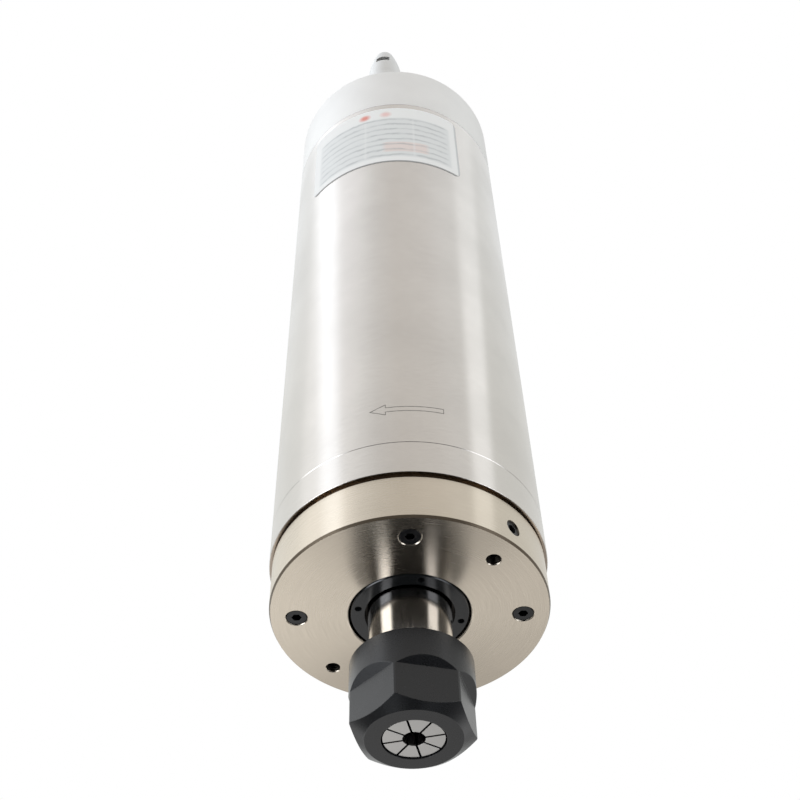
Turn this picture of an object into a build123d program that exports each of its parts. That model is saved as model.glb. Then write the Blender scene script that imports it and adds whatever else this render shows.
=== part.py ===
"""Water-cooled motor spindle with a 6 mm spring collet, built piece by piece in millimetres.

The axis of rotation is Z. Height 0 is the front flange's face, the nose points to -Z and the
rear cap is at the top. Every piece is a solid of its own, written to parts/<name>.step.
"""
from build123d import *
from math import cos, radians, sin, tan
import os

os.makedirs("parts", exist_ok=True)

# ---------------------------------------------------------------- driving dimensions

# Body
body_d = 80.0            # clamping diameter of the body
body_len = 262.0         # front face to rear face
tube_wall = 2.5          # stainless jacket tube
rim_t = 12.4             # ring of the front housing that shows between flange and tube
cap_len = 31.0           # rear cap
cap_plate_t = 9.0        # rear wall of the cap
cap_wall = 6.0           # side wall of the cap
cap_spigot = 3.0         # ring of the cap that centres in the tube

# Front flange
flange_d = 78.2
flange_t = 15.5
flange_bore_d = 34.4
flange_edge = 0.8        # chamfer on the front edge
groove_w = 1.06          # open groove between flange and housing
groove_depth = 1.3       # from the flange's side
groove_edge = 0.08       # edge breaks of that groove
seam_edge = 0.12         # edge breaks where the tube meets the housing ring and the cap
spigot_len = 3.5         # reach of the flange's spigot to the front bearings
race_clear = 0.7         # the spigot stays this far off the turning race
screw_circle_d = 63.0    # circle of the flange's screws and jack holes
flange_screws_n = 4
screw_angle = 1.2        # direction of one flange screw
screw_sink = 0.22        # edge break round their counterbores
jack_d = 4.0             # the two jack threads, at their major diameter
jack_sink = 0.2          # countersink round their mouths
jack_depth = 12.0
jack_angle = -43.8

# Purge port in the side of the flange
purge_height = 6.6
purge_angle = -43.3
purge_d = 5.0
purge_depth = 6.0
purge_drill_d = 2.0
plug_len = 5.0

# Front bearings, an angular contact pair
front_bore = 25.0
front_od = 47.0
front_w = 12.0
front_ball_d = 5.6
front_balls_n = 11
shoulder_share = 0.34    # height of a track's shoulder, as a part of the ball's diameter
bearing_spacer = 4.0     # between the two front bearings
cage_share = 0.7         # width of a ball cage, as a part of the bearing's width
cage_wall = 0.18         # half its thickness, as a part of the ball's diameter

# Rear bearings, an angular contact pair
rear_bore = 15.0
rear_od = 32.0
rear_w = 9.0
rear_ball_d = 4.4
rear_balls_n = 9
pair_gap = 0.02          # between the two rear bearings
spring_h = 3.4           # room for the two preload disc springs
spring_t = 0.8
circlip_t = 1.2
circlip_room = 3.0

# Housings
front_shoulder_t = 6.0   # wall behind the front bearings
rear_shoulder_t = 4.5    # wall in front of the preload springs

# Motor
stator_bore_d = 40.0
sleeve_wall = 4.49       # cooling sleeve, from the tube to the stator core
front_room = 24.0        # front housing to stator core
rear_room = 32.0         # stator core to rear housing
turns_h = 15.0           # height of the winding's end turns
slots_n = 18
slot_mouth = 1.4
slot_lip = 1.2           # height of the tooth tips under the slots
core_back = 3.8          # iron behind the slots
air_gap = 0.3
rotor_bars_n = 14
bar_w = 2.4
bar_h = 4.6
bar_cover = 0.8          # iron over the rotor bars
end_ring_t = 5.0

# Cooling sleeve
channels_n = 12
channel_depth = 2.8
channel_share = 0.7      # part of the pitch that is channel, the rest is rib
turnaround = 9.0         # length of the gap in a rib where the water turns
channel_start = -96.5    # angle of the first channel, over the inlet
outlet_channel = 7       # channel under the outlet

# Shaft
neck_d = 23.7            # bright neck at the flange
neck_end_d = 22.5        # the neck narrows to this at the nut
neck_recess = 2.6        # depth of the open gap between neck and lock ring
neck_relief = 0.25       # depth of the relief groove in the neck
relief_z = -14.45
relief_w = 1.1
nose_len = 33.4          # flange face to the nose's end
thread_len = 15.0        # collet nut thread on the nose
thread_h = 0.92          # depth of that thread, left out of the solids
rotor_seat_d = 28.0
shaft_tail = 2.5         # past the rear lock nut
lock_ring_len = 10.0
lock_ring_gap = 0.6      # radial gap to the flange's bore
lock_ring_set = 0.35     # how deep the ring's face lies in the bore
pin_hole_d = 2.0
pin_hole_depth = 3.0
pin_hole_circle_d = 29.2
pin_hole_angle = 13.0
rear_nut_d = 25.0
rear_nut_t = 5.0
rear_nut_slots_n = 4
rear_nut_slot_w = 4.0
rear_nut_slot_depth = 1.5
rear_spacer_t = 2.2
tail_shoulder = 2.6      # height of the shaft's shoulder under the rear bearings

# Collet and nut
collet_grip_d = 6.0      # tool shank
collet_d = 21.0          # at the mouth of the taper
collet_len = 31.5
collet_half_angle = 8.0
collet_room = 1.5        # the taper starts this far behind the collet's groove, and ends this far past it
collet_face_d = 16.0
collet_head = 2.7        # height of the front cone
collet_head_angle = 30.0
collet_groove_d = 17.2
collet_groove_w = 2.3
collet_slots_n = 8
collet_slot_w = 0.6
collet_angle = -11.3     # direction of one front slot
nut_d = 33.5
nut_flats = 29.3         # across the six flats
nut_len = 22.8
nut_rear = 17.45         # flange face to the nut's rear edge
nut_face_d = 25.4        # flat ring round the collet
nut_cone_h = 2.65        # height of the front cone
nut_flat_len = 11.95     # front face to the end of the flats
nut_mouth_d = 16.9
nut_angle = -75.0        # direction of one flat

# Rear fittings
fitting_circle_d = 56.4  # circle of the two water fittings
water_d = 6.0            # drilled water ways
hose_d = 6.0
fitting_h = 38.0         # rear face to the top of a fitting
fitting_d = 15.2
fitting_waist_d = 13.3   # half way up the bell of a fitting's nut
fitting_top_d = 8.4
fitting_round = 1.6      # rounding at the top
fitting_base_h = 6.0
washer_t = 1.0
fitting_nut_len = 26.0
spanner_slot_w = 5.8
spanner_slot_h = 4.8
spanner_slot_depth = 2.7
spanner_slot_top = 10.5  # top of the fitting to the slot
hose_depth = 12.0
socket_circle_d = 48.0
socket_d = 16.0
socket_h = 12.0
socket_flange_d = 19.0
socket_flange_t = 2.5
socket_pins_n = 4
socket_pin_d = 1.5
socket_pin_circle_d = 6.4
lead_d = 2.2

# Screws
m3_d = 3.0
m3_head_d = 5.5
m3_key = 2.5
m3_len = 20.0
m4_d = 4.0
m4_head_d = 7.0
m4_key = 3.0
m4_len = 40.0
cap_screw_circle_d = 60.4
cap_screw_turns = (60, 180, 300)  # from the socket

# Clearances, all radial
run = 0.05               # running fit between turning pieces
seat = 0.01              # located fit between pieces of one body
screw_play = 0.2
tap_room = 2.5           # a tapped hole is this much deeper than its screw
head_play = 0.25
ball_play = 0.03
break_edge = 0.3         # small edge breaks

# ---------------------------------------------------------------- stations along the axis

z_rim = flange_t
z_tube = z_rim + rim_t
z_cap = body_len - cap_len
z_front_a = z_rim + spigot_len
z_front_b = z_front_a + front_w + bearing_spacer
z_front_end = z_front_b + front_w
z_sleeve = z_front_end + front_shoulder_t
z_core = z_sleeve + front_room
z_rear_end = z_cap - cap_spigot
z_rear_b = z_rear_end - circlip_room - rear_w
z_rear_a = z_rear_b - rear_w - pair_gap
z_spring = z_rear_a - spring_h
z_rear = z_spring - rear_shoulder_t
z_core_end = z_rear - rear_room
core_len = z_core_end - z_core
z_rear_nut = z_rear_b + rear_w + circlip_room
z_shaft_end = z_rear_nut + rear_nut_t + shaft_tail
z_cap_roof = body_len - cap_plate_t
z_collet = -nose_len - collet_head - collet_groove_w - collet_room
z_collet_rear = z_collet + collet_len
z_nut_face = -nut_rear - nut_len

# ---------------------------------------------------------------- radii that fit each other

body_r = body_d / 2
tube_r = body_r - tube_wall
inner_r = tube_r - seat
sleeve_r = inner_r - sleeve_wall
stator_r = sleeve_r - seat
journal_r = front_bore / 2
tail_r = rear_bore / 2
front_pitch = (front_bore + front_od) / 4
rear_pitch = (rear_bore + rear_od) / 4
thread_r = journal_r
thread_root_r = thread_r - thread_h
rotor_r = stator_bore_d / 2 - air_gap
outlet_angle = channel_start + outlet_channel * 360 / channels_n
socket_angle = (channel_start + outlet_angle) / 2
water_angles = (channel_start, outlet_angle)


# ---------------------------------------------------------------- shared forms

def outline(*corners):
    """A closed face in the XZ plane from (radius, height) corners."""
    with BuildSketch(Plane.XZ) as face:
        with BuildLine():
            Polyline(*corners, close=True)
        make_face()
    return face.sketch


def band(inner, outer, low, high, edge=0.0):
    """The outline of a plain ring, with its four edges broken if edge is given."""
    if edge == 0:
        return outline((inner, low), (outer, low), (outer, high), (inner, high))
    return outline(
        (inner, low + edge), (inner + edge, low), (outer - edge, low), (outer, low + edge),
        (outer, high - edge), (outer - edge, high), (inner + edge, high), (inner, high - edge),
    )


def spot(circle_d, angle, height):
    """A place on a circle about the axis."""
    return Location((circle_d / 2 * cos(radians(angle)), circle_d / 2 * sin(radians(angle)), height))


def ring_spots(circle_d, count, first, height):
    """Evenly spaced places on a circle about the axis."""
    return [spot(circle_d, first + 360 * k / count, height) for k in range(count)]


def finish(piece, name):
    """Label a finished piece and write it to its own file."""
    piece.part.label = name
    export_step(piece.part, f"parts/{name}.step")


def ball_track(pitch, ball_d):
    """The round track that a ring of balls rolls in, as a circle in the XZ plane at height 0."""
    with BuildSketch(Plane.XZ) as track:
        with Locations((pitch, 0)):
            Circle(ball_d / 2 + ball_play)
    return track.sketch


def race_pair(inner_r, outer_r, pitch, ball_d, width, heights, outer):
    """Two bearing rings, inner or outer, each with a ball track and one low shoulder."""
    shoulder = shoulder_share * ball_d
    with BuildPart() as rings:
        for low in heights:
            middle = low + width / 2
            if outer:
                side = pitch + shoulder
                profile = outline(
                    (side, low), (outer_r, low), (outer_r, low + width),
                    (side + shoulder / 3, low + width), (side, middle),
                )
            else:
                side = pitch - shoulder
                profile = band(inner_r, side, low, low + width)
            revolve(profile, axis=Axis.Z)
            revolve(Pos(0, 0, middle) * ball_track(pitch, ball_d), axis=Axis.Z, mode=Mode.SUBTRACT)
    return rings


def balls(pitch, ball_d, count, heights):
    """The balls of two bearings."""
    with BuildPart() as set_of_balls:
        for middle in heights:
            with Locations(*ring_spots(2 * pitch, count, 0, middle)):
                Sphere(ball_d / 2)
    return set_of_balls


def cages(pitch, ball_d, count, heights, width):
    """Two ball cages: thin rings with a round pocket for each ball."""
    wall = cage_wall * ball_d
    with BuildPart() as rings:
        for middle in heights:
            revolve(band(pitch - wall, pitch + wall, middle - width / 2, middle + width / 2), axis=Axis.Z)
            for k in range(count):
                turn = 360 * k / count
                toward = (cos(radians(turn)), sin(radians(turn)), 0)
                with BuildSketch(Plane(origin=(0, 0, middle), z_dir=toward)):
                    Circle(ball_d / 2 + 2 * ball_play)
                extrude(amount=pitch + ball_d, mode=Mode.SUBTRACT)
    return rings


def cap_screws(places, thread_d, head_d, key, length, head_down):
    """Socket head cap screws with their heads at the given places.

    head_down is 1 where the head faces -Z and -1 where it faces +Z.
    """
    head_h = thread_d
    with BuildPart() as screws:
        for place in places:
            x, y, z = place.position
            face = Plane(origin=(x, y, z), x_dir=(1, 0, 0), z_dir=(0, 0, head_down))
            with BuildSketch(face):
                Circle(head_d / 2)
            extrude(amount=head_h)
            with BuildSketch(face.offset(head_h)):
                Circle(thread_d / 2)
            extrude(amount=length)
            with BuildSketch(face):
                RegularPolygon(key / 2, 6, major_radius=False)
            extrude(amount=head_h / 2, mode=Mode.SUBTRACT)
    return screws


# ---------------------------------------------------------------- front flange

screw_places = ring_spots(screw_circle_d, flange_screws_n, screw_angle, 0)
jack_places = ring_spots(screw_circle_d, 2, jack_angle, 0)
counterbore_depth = m3_d + screw_play
counterbore_r = m3_head_d / 2 + head_play
jack_mouth_r = jack_d / 2 + jack_sink
from_mouth = (Align.CENTER, Align.CENTER, Align.MIN)
purge_dir = (cos(radians(purge_angle)), sin(radians(purge_angle)), 0)
purge_plane = Plane(
    origin=(flange_d / 2 * purge_dir[0], flange_d / 2 * purge_dir[1], purge_height),
    x_dir=(0, 0, 1), z_dir=purge_dir,
)
flange_r = flange_d / 2
flange_bore_r = flange_bore_d / 2
spigot_r = front_od / 2 - seat
race_clear_r = front_pitch + shoulder_share * front_ball_d + race_clear
groove_floor_r = flange_r - groove_depth
groove_low = z_rim - groove_w / 2
groove_high = z_rim + groove_w / 2

with BuildPart() as front_flange:
    revolve(outline(
        (flange_bore_r, break_edge), (flange_bore_r + break_edge, 0),
        (flange_r - flange_edge / 2, 0), (flange_r, flange_edge),
        (flange_r, groove_low - groove_edge), (flange_r - groove_edge, groove_low),
        (groove_floor_r, groove_low), (groove_floor_r, z_rim), (spigot_r, z_rim), (spigot_r, z_front_a),
        (race_clear_r, z_front_a), (race_clear_r, z_rim + spigot_len / 2),
        (flange_bore_r, z_rim + spigot_len / 2),
    ), axis=Axis.Z)
    for place in screw_places:
        with BuildSketch(Plane(place.position)):
            Circle(counterbore_r)
        extrude(amount=counterbore_depth, mode=Mode.SUBTRACT)
        with BuildSketch(Plane(place.position)):
            Circle(m3_d / 2 + screw_play)
        extrude(amount=flange_t, mode=Mode.SUBTRACT)
        with Locations(place):
            Cone(counterbore_r + screw_sink, counterbore_r, screw_sink, align=from_mouth, mode=Mode.SUBTRACT)
    for place in jack_places:
        with BuildSketch(Plane(place.position)):
            Circle(jack_d / 2)
        extrude(amount=jack_depth, mode=Mode.SUBTRACT)
        with Locations(place):
            Cone(jack_mouth_r, 0, jack_mouth_r, align=from_mouth, mode=Mode.SUBTRACT)
    with BuildSketch(purge_plane):
        Circle(purge_d / 2)
    extrude(amount=-purge_depth, mode=Mode.SUBTRACT)
    with BuildSketch(purge_plane):
        Circle(purge_drill_d / 2)
    extrude(amount=-(flange_r - flange_bore_r + 1), mode=Mode.SUBTRACT)
finish(front_flange, "front_flange")

head_set = screw_play
flange_screws = cap_screws(
    [Pos(0, 0, head_set) * place for place in screw_places], m3_d, m3_head_d, m3_key, m3_len, 1)
finish(flange_screws, "flange_screws")

plug_top = 0.5
with BuildPart() as purge_plug:
    with BuildSketch(purge_plane.offset(-plug_top)):
        Circle(purge_d / 2 - seat)
    extrude(amount=-plug_len)
    with BuildSketch(purge_plane.offset(-plug_top)):
        RegularPolygon(m3_key / 2, 6, major_radius=False)
    extrude(amount=-plug_len / 2, mode=Mode.SUBTRACT)
finish(purge_plug, "purge_plug")

# ---------------------------------------------------------------- front housing and front bearings

front_bore_r = front_od / 2
oring_d = 2.0
oring_squeeze = 0.15
oring_room = 0.65        # half the width of a groove, as a part of the ring's thickness
oring_half = 0.45        # half the width of a ring in its groove
oring_round = 0.3
oring_heights = [z_tube + 5.0, z_tube + 11.0]
groove_r = inner_r - oring_d + oring_squeeze
seal_w = 1.8             # face seals, in grooves of their own width
seal_h = 1.3
seal_land = 2.5          # front bore to the middle of the flange's seal
flange_seal_r = front_bore_r + seal_land


def oring_grooves(heights):
    """Outlines of the O-ring grooves in a housing that slides into the tube."""
    return [band(groove_r, inner_r + 1, h - oring_room * oring_d, h + oring_room * oring_d) for h in heights]


with BuildPart() as front_housing:
    revolve(outline(
        (front_bore_r, z_rim), (groove_floor_r, z_rim), (groove_floor_r, groove_high),
        (body_r - groove_edge, groove_high), (body_r, groove_high + groove_edge),
        (body_r, z_tube - seam_edge), (body_r - seam_edge, z_tube), (inner_r, z_tube),
        (inner_r, z_sleeve - break_edge),
        (inner_r - break_edge, z_sleeve), (front_pitch, z_sleeve),
        (front_pitch, z_front_end), (front_bore_r, z_front_end),
    ), axis=Axis.Z)
    for groove in oring_grooves(oring_heights):
        revolve(groove, axis=Axis.Z, mode=Mode.SUBTRACT)
    for place in screw_places:
        with BuildSketch(Plane(place.position + Vector(0, 0, z_rim))):
            Circle(m3_d / 2 + seat)
        extrude(amount=m3_d + head_set + m3_len - flange_t + tap_room, mode=Mode.SUBTRACT)
    revolve(band(flange_seal_r - seal_w / 2, flange_seal_r + seal_w / 2, z_rim, z_rim + seal_h), axis=Axis.Z,
            mode=Mode.SUBTRACT)
finish(front_housing, "front_housing")

with BuildPart() as flange_seal:
    revolve(band(flange_seal_r - seal_w / 2 + seat, flange_seal_r + seal_w / 2 - seat, z_rim, z_rim + seal_h,
                 break_edge), axis=Axis.Z)
finish(flange_seal, "flange_seal")


def orings(heights, radius):
    """Round rings in their grooves, with a flat where the tube presses them."""
    with BuildPart() as rings:
        for h in heights:
            revolve(band(groove_r + seat, radius, h - oring_half * oring_d, h + oring_half * oring_d,
                         oring_round * oring_d), axis=Axis.Z)
    return rings


front_seals = orings(oring_heights, tube_r - seat)
finish(front_seals, "front_seals")

front_lows = (z_front_a, z_front_b)
front_middles = [low + front_w / 2 for low in front_lows]
front_outer_races = race_pair(0, front_bore_r - seat, front_pitch, front_ball_d, front_w, front_lows, True)
finish(front_outer_races, "front_outer_races")
front_inner_races = race_pair(journal_r + seat, 0, front_pitch, front_ball_d, front_w, front_lows, False)
finish(front_inner_races, "front_inner_races")
front_balls = balls(front_pitch, front_ball_d, front_balls_n, front_middles)
finish(front_balls, "front_balls")
front_cages = cages(front_pitch, front_ball_d, front_balls_n, front_middles, cage_share * front_w)
finish(front_cages, "front_cages")

outer_lip = front_pitch + shoulder_share * front_ball_d
inner_lip = front_pitch - shoulder_share * front_ball_d
lip_play = 0.5
with BuildPart() as outer_spacer:
    revolve(band(outer_lip + lip_play, front_bore_r - seat, z_front_a + front_w, z_front_b), axis=Axis.Z)
finish(outer_spacer, "outer_spacer")
with BuildPart() as inner_spacers:
    revolve(band(journal_r + seat, inner_lip, z_front_a + front_w, z_front_b), axis=Axis.Z)
    revolve(band(journal_r + seat, inner_lip, lock_ring_set + lock_ring_len, z_front_a), axis=Axis.Z)
finish(inner_spacers, "inner_spacers")

# ---------------------------------------------------------------- jacket tube and cooling sleeve

with BuildPart() as jacket_tube:
    revolve(outline(
        (tube_r, z_tube), (body_r - seam_edge, z_tube), (body_r, z_tube + seam_edge),
        (body_r, z_cap - seam_edge), (body_r - seam_edge, z_cap), (tube_r, z_cap),
    ), axis=Axis.Z)
finish(jacket_tube, "jacket_tube")

pitch_angle = 360 / channels_n
channel_spread = channel_share * pitch_angle
channel_r = inner_r - channel_depth


def sector(inner, outer, middle, spread):
    """A sketch of part of a ring, spread degrees wide about a middle angle."""
    with BuildSketch() as part_ring:
        with BuildLine():
            CenterArc((0, 0), outer, middle - spread / 2, spread)
            CenterArc((0, 0), inner, middle - spread / 2, spread)
            for side in (-spread / 2, spread / 2):
                a = radians(middle + side)
                Line((inner * cos(a), inner * sin(a)), (outer * cos(a), outer * sin(a)))
        make_face()
    return part_ring.sketch


with BuildPart() as water_ways:
    for k in range(channels_n):
        channel = channel_start + k * pitch_angle
        extrude(Pos(0, 0, z_sleeve - 1) * sector(channel_r, inner_r + 1, channel, channel_spread),
                amount=z_rear - z_sleeve + 2)
        # The rib after this channel opens at the front or at the rear by turns, both ways from the inlet
        step = k if k < outlet_channel else channels_n - 1 - k
        low = z_sleeve - 1 if step % 2 == 0 else z_rear - turnaround
        extrude(Pos(0, 0, low) * sector(channel_r, inner_r + 1, channel + pitch_angle / 2, pitch_angle / 2),
                amount=turnaround + 1)

with BuildPart() as cooling_sleeve:
    revolve(band(sleeve_r, inner_r, z_sleeve, z_rear), axis=Axis.Z)
    add(water_ways.part, mode=Mode.SUBTRACT)
finish(cooling_sleeve, "cooling_sleeve")

# ---------------------------------------------------------------- stator, winding and rotor

stator_bore_r = stator_bore_d / 2
slot_pitch = 360 / slots_n
slot_floor = stator_bore_r + slot_lip
slot_top = stator_r - core_back
slot_share = 0.55        # part of the pitch that is slot, the rest is tooth
slot_spread = slot_pitch * slot_share

with BuildPart() as stator_core:
    revolve(band(stator_bore_r, stator_r, z_core, z_core_end), axis=Axis.Z)
    for k in range(slots_n):
        extrude(Pos(0, 0, z_core) * sector(slot_floor, slot_top, k * slot_pitch, slot_spread),
                amount=core_len, mode=Mode.SUBTRACT)
        with BuildSketch(Plane.XY.offset(z_core)):
            with PolarLocations(stator_bore_r + slot_lip / 2, 1, start_angle=k * slot_pitch):
                Rectangle(2 * slot_lip, slot_mouth)
        extrude(amount=core_len, mode=Mode.SUBTRACT)
finish(stator_core, "stator_core")

turns_inner = slot_floor - 0.4
turns_outer = slot_top + 1.0
turns_edge = 0.8
turns_lap = 2.5          # wires in the slots reach this far into the end turns
wire_floor = slot_floor + 0.6
wire_top = slot_top - 0.1
wire_spread = slot_spread - 0.6
with BuildPart() as winding:
    for low in (z_core - turns_h, z_core_end):
        revolve(band(turns_inner, turns_outer, low, low + turns_h, turns_edge), axis=Axis.Z)
    for k in range(slots_n):
        extrude(Pos(0, 0, z_core - turns_lap) * sector(wire_floor, wire_top, k * slot_pitch, wire_spread),
                amount=core_len + 2 * turns_lap)
finish(winding, "winding")

rotor_seat_r = rotor_seat_d / 2
bar_r = rotor_r - bar_cover - bar_h / 2
bar_lap = 1.0            # bars reach this far into the end rings
ring_in = rotor_seat_r + 0.3
ring_out = rotor_r - 0.2


def bar_slots(play):
    """The ring of rotor bars as a sketch, each larger by the play given."""
    with BuildSketch() as slots:
        with PolarLocations(bar_r, rotor_bars_n):
            Rectangle(bar_h + 2 * play, bar_w + 2 * play)
    return slots.sketch


with BuildPart() as rotor_core:
    revolve(band(rotor_seat_r + seat, rotor_r, z_core, z_core_end), axis=Axis.Z)
    extrude(Pos(0, 0, z_core) * bar_slots(seat), amount=core_len, mode=Mode.SUBTRACT)
finish(rotor_core, "rotor_core")

with BuildPart() as rotor_cage:
    for low in (z_core - end_ring_t, z_core_end):
        revolve(band(ring_in, ring_out, low, low + end_ring_t, break_edge), axis=Axis.Z)
    extrude(Pos(0, 0, z_core - bar_lap) * bar_slots(0), amount=core_len + 2 * bar_lap)
finish(rotor_cage, "rotor_cage")

# ---------------------------------------------------------------- rear housing and rear bearings

rear_bore_r = rear_od / 2
rear_wall_r = tail_r + 3.6
lead_way_d = 11.0
water_drop = 13.0        # depth of the water ways in the rear housing
port_depth = 16.0        # length of the ports in its side
rear_seal_h = z_rear_end - 4.0
circlip_play = 0.1
circlip_groove_r = rear_bore_r + 0.9
z_circlip = z_rear_b + rear_w + 0.3
water_seal_r = water_d / 2 + 1.8
cap_screw_places = [spot(cap_screw_circle_d, socket_angle + turn, 0) for turn in cap_screw_turns]
water_places = [spot(fitting_circle_d, angle, 0) for angle in water_angles]
socket_place = spot(socket_circle_d, socket_angle, 0)

with BuildPart() as rear_housing:
    revolve(outline(
        (rear_wall_r, z_rear), (inner_r, z_rear), (inner_r, z_rear_end), (rear_bore_r, z_rear_end),
        (rear_bore_r, z_spring), (rear_wall_r, z_spring),
    ), axis=Axis.Z)
    revolve(band(rear_bore_r - 1, circlip_groove_r, z_circlip, z_circlip + circlip_t + circlip_play),
            axis=Axis.Z, mode=Mode.SUBTRACT)
    for groove in oring_grooves([rear_seal_h]):
        revolve(groove, axis=Axis.Z, mode=Mode.SUBTRACT)
    for angle in water_angles:
        extrude(Pos(0, 0, z_rear) * sector(channel_r, inner_r + 1, angle, channel_spread),
                amount=port_depth, mode=Mode.SUBTRACT)
        with BuildSketch(Plane(spot(fitting_circle_d, angle, z_rear_end).position)):
            Circle(water_d / 2)
        extrude(amount=-water_drop - water_d / 2, mode=Mode.SUBTRACT)
        toward = (cos(radians(angle)), sin(radians(angle)), 0)
        corner = spot(fitting_circle_d, angle, z_rear_end - water_drop).position
        with BuildSketch(Plane(origin=corner, z_dir=toward)):
            Circle(water_d / 2)
        extrude(amount=channel_r + 0.5 - fitting_circle_d / 2, mode=Mode.SUBTRACT)
    with BuildSketch(Plane((socket_place.position.X, socket_place.position.Y, z_rear))):
        Circle(lead_way_d / 2)
    extrude(amount=z_rear_end - z_rear, mode=Mode.SUBTRACT)
    for place in cap_screw_places:
        with BuildSketch(Plane((place.position.X, place.position.Y, z_rear_end))):
            Circle(m4_d / 2 + seat)
        extrude(amount=-(m4_len + m4_d + tap_room - (body_len - z_rear_end)), mode=Mode.SUBTRACT)
    for place in water_places:
        with BuildSketch(Plane((place.position.X, place.position.Y, z_rear_end))):
            Circle(water_seal_r + seal_w / 2)
            Circle(water_seal_r - seal_w / 2, mode=Mode.SUBTRACT)
        extrude(amount=-seal_h, mode=Mode.SUBTRACT)
finish(rear_housing, "rear_housing")

with BuildPart() as water_seals:
    for place in water_places:
        with BuildSketch(Plane((place.position.X, place.position.Y, z_rear_end))):
            Circle(water_seal_r + seal_w / 2 - seat)
            Circle(water_seal_r - seal_w / 2 + seat, mode=Mode.SUBTRACT)
        extrude(amount=-seal_h)
finish(water_seals, "water_seals")

rear_seal = orings([rear_seal_h], tube_r - seat)
finish(rear_seal, "rear_seal")

rear_lows = (z_rear_a, z_rear_b)
rear_middles = [low + rear_w / 2 for low in rear_lows]
rear_outer_races = race_pair(0, rear_bore_r - seat, rear_pitch, rear_ball_d, rear_w, rear_lows, True)
finish(rear_outer_races, "rear_outer_races")
rear_inner_races = race_pair(tail_r + seat, 0, rear_pitch, rear_ball_d, rear_w, rear_lows, False)
finish(rear_inner_races, "rear_inner_races")
rear_balls = balls(rear_pitch, rear_ball_d, rear_balls_n, rear_middles)
finish(rear_balls, "rear_balls")
rear_cages = cages(rear_pitch, rear_ball_d, rear_balls_n, rear_middles, cage_share * rear_w)
finish(rear_cages, "rear_cages")

with BuildPart() as preload_springs:
    cup = (spring_h - 2 * spring_t) / 2
    spring_in = rear_pitch + 0.1 * rear_ball_d
    spring_out = rear_bore_r - 0.3
    middle = z_spring + spring_h / 2
    revolve(outline((spring_in, z_spring), (spring_out, z_spring + cup),
                    (spring_out, middle), (spring_in, z_spring + spring_t)), axis=Axis.Z)
    revolve(outline((spring_in, z_spring + spring_h), (spring_out, z_spring + spring_h - cup),
                    (spring_out, middle), (spring_in, z_spring + spring_h - spring_t)), axis=Axis.Z)
finish(preload_springs, "preload_springs")

circlip_w = 1.8
circlip_r = circlip_groove_r - circlip_play
circlip_span = 320       # degrees of the ring
ear_turn = 22            # each ear stands this far from the middle of its gap
ear_r = 1.3
ear_hole_r = 0.7
ear_circle_d = 2 * circlip_groove_r - 4.4
with BuildPart() as bearing_circlip:
    extrude(Pos(0, 0, z_circlip) * sector(circlip_r - circlip_w, circlip_r, 90, circlip_span),
            amount=circlip_t)
    for ear in (270 - ear_turn, 270 + ear_turn):
        ear_plane = Plane(spot(ear_circle_d, ear, z_circlip).position)
        with BuildSketch(ear_plane):
            Circle(ear_r)
        extrude(amount=circlip_t)
        with BuildSketch(ear_plane):
            Circle(ear_hole_r)
        extrude(amount=circlip_t, mode=Mode.SUBTRACT)
finish(bearing_circlip, "bearing_circlip")

with BuildPart() as rear_spacer:
    revolve(band(tail_r + seat, tail_r + rear_spacer_t, z_rear_b + rear_w, z_rear_nut), axis=Axis.Z)
finish(rear_spacer, "rear_spacer")

with BuildPart() as rear_lock_nut:
    revolve(band(tail_r + seat, rear_nut_d / 2, z_rear_nut, z_rear_nut + rear_nut_t, break_edge), axis=Axis.Z)
    with BuildSketch(Plane.XY.offset(z_rear_nut)):
        with PolarLocations(rear_nut_d / 2, rear_nut_slots_n):
            Rectangle(2 * rear_nut_slot_depth, rear_nut_slot_w)
    extrude(amount=rear_nut_t, mode=Mode.SUBTRACT)
finish(rear_lock_nut, "rear_lock_nut")

# ---------------------------------------------------------------- shaft and front lock ring

neck_r = neck_d / 2
neck_end_r = neck_end_d / 2
nose_edge = 0.4
mouth_r = collet_d / 2
taper = tan(radians(collet_half_angle))
taper_depth = collet_len - (-nose_len - z_collet) + collet_room
taper_end_r = mouth_r - taper_depth * taper
core_drill_r = taper_end_r - 1.6
drill_len = 30.0
drill_tip = 0.6          # height of the drill's cone, as a part of its radius
z_taper_end = -nose_len + taper_depth
z_step = z_sleeve + 2.0
z_step_rear = z_core_end + 2 * end_ring_t
step_run = 3.0
lip_clear = 0.3          # the shaft's shoulder stays this far inside the inner races

with BuildPart() as spindle_shaft:
    revolve(outline(
        (0, z_shaft_end), (0, z_taper_end + drill_len),
        (core_drill_r, z_taper_end + drill_len - core_drill_r * drill_tip),
        (core_drill_r, z_taper_end), (taper_end_r, z_taper_end),
        (mouth_r, -nose_len), (thread_root_r - nose_edge, -nose_len), (thread_root_r, -nose_len + nose_edge),
        (thread_root_r, -nose_len + thread_len), (neck_end_r, -nose_len + thread_len),
        (neck_end_r, relief_z), (neck_end_r - neck_relief, relief_z),
        (neck_end_r - neck_relief, relief_z + relief_w), (neck_end_r, relief_z + relief_w),
        (neck_r, 0), (neck_r, neck_recess), (journal_r, neck_recess),
        (journal_r, z_front_end), (inner_lip - lip_clear, z_front_end), (inner_lip - lip_clear, z_step),
        (rotor_seat_r, z_step), (rotor_seat_r, z_step_rear),
        (tail_r + tail_shoulder, z_step_rear + step_run), (tail_r + tail_shoulder, z_rear_a),
        (tail_r, z_rear_a), (tail_r, z_shaft_end - 1.0), (tail_r - 1.0, z_shaft_end),
    ), axis=Axis.Z)
finish(spindle_shaft, "spindle_shaft")

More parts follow.
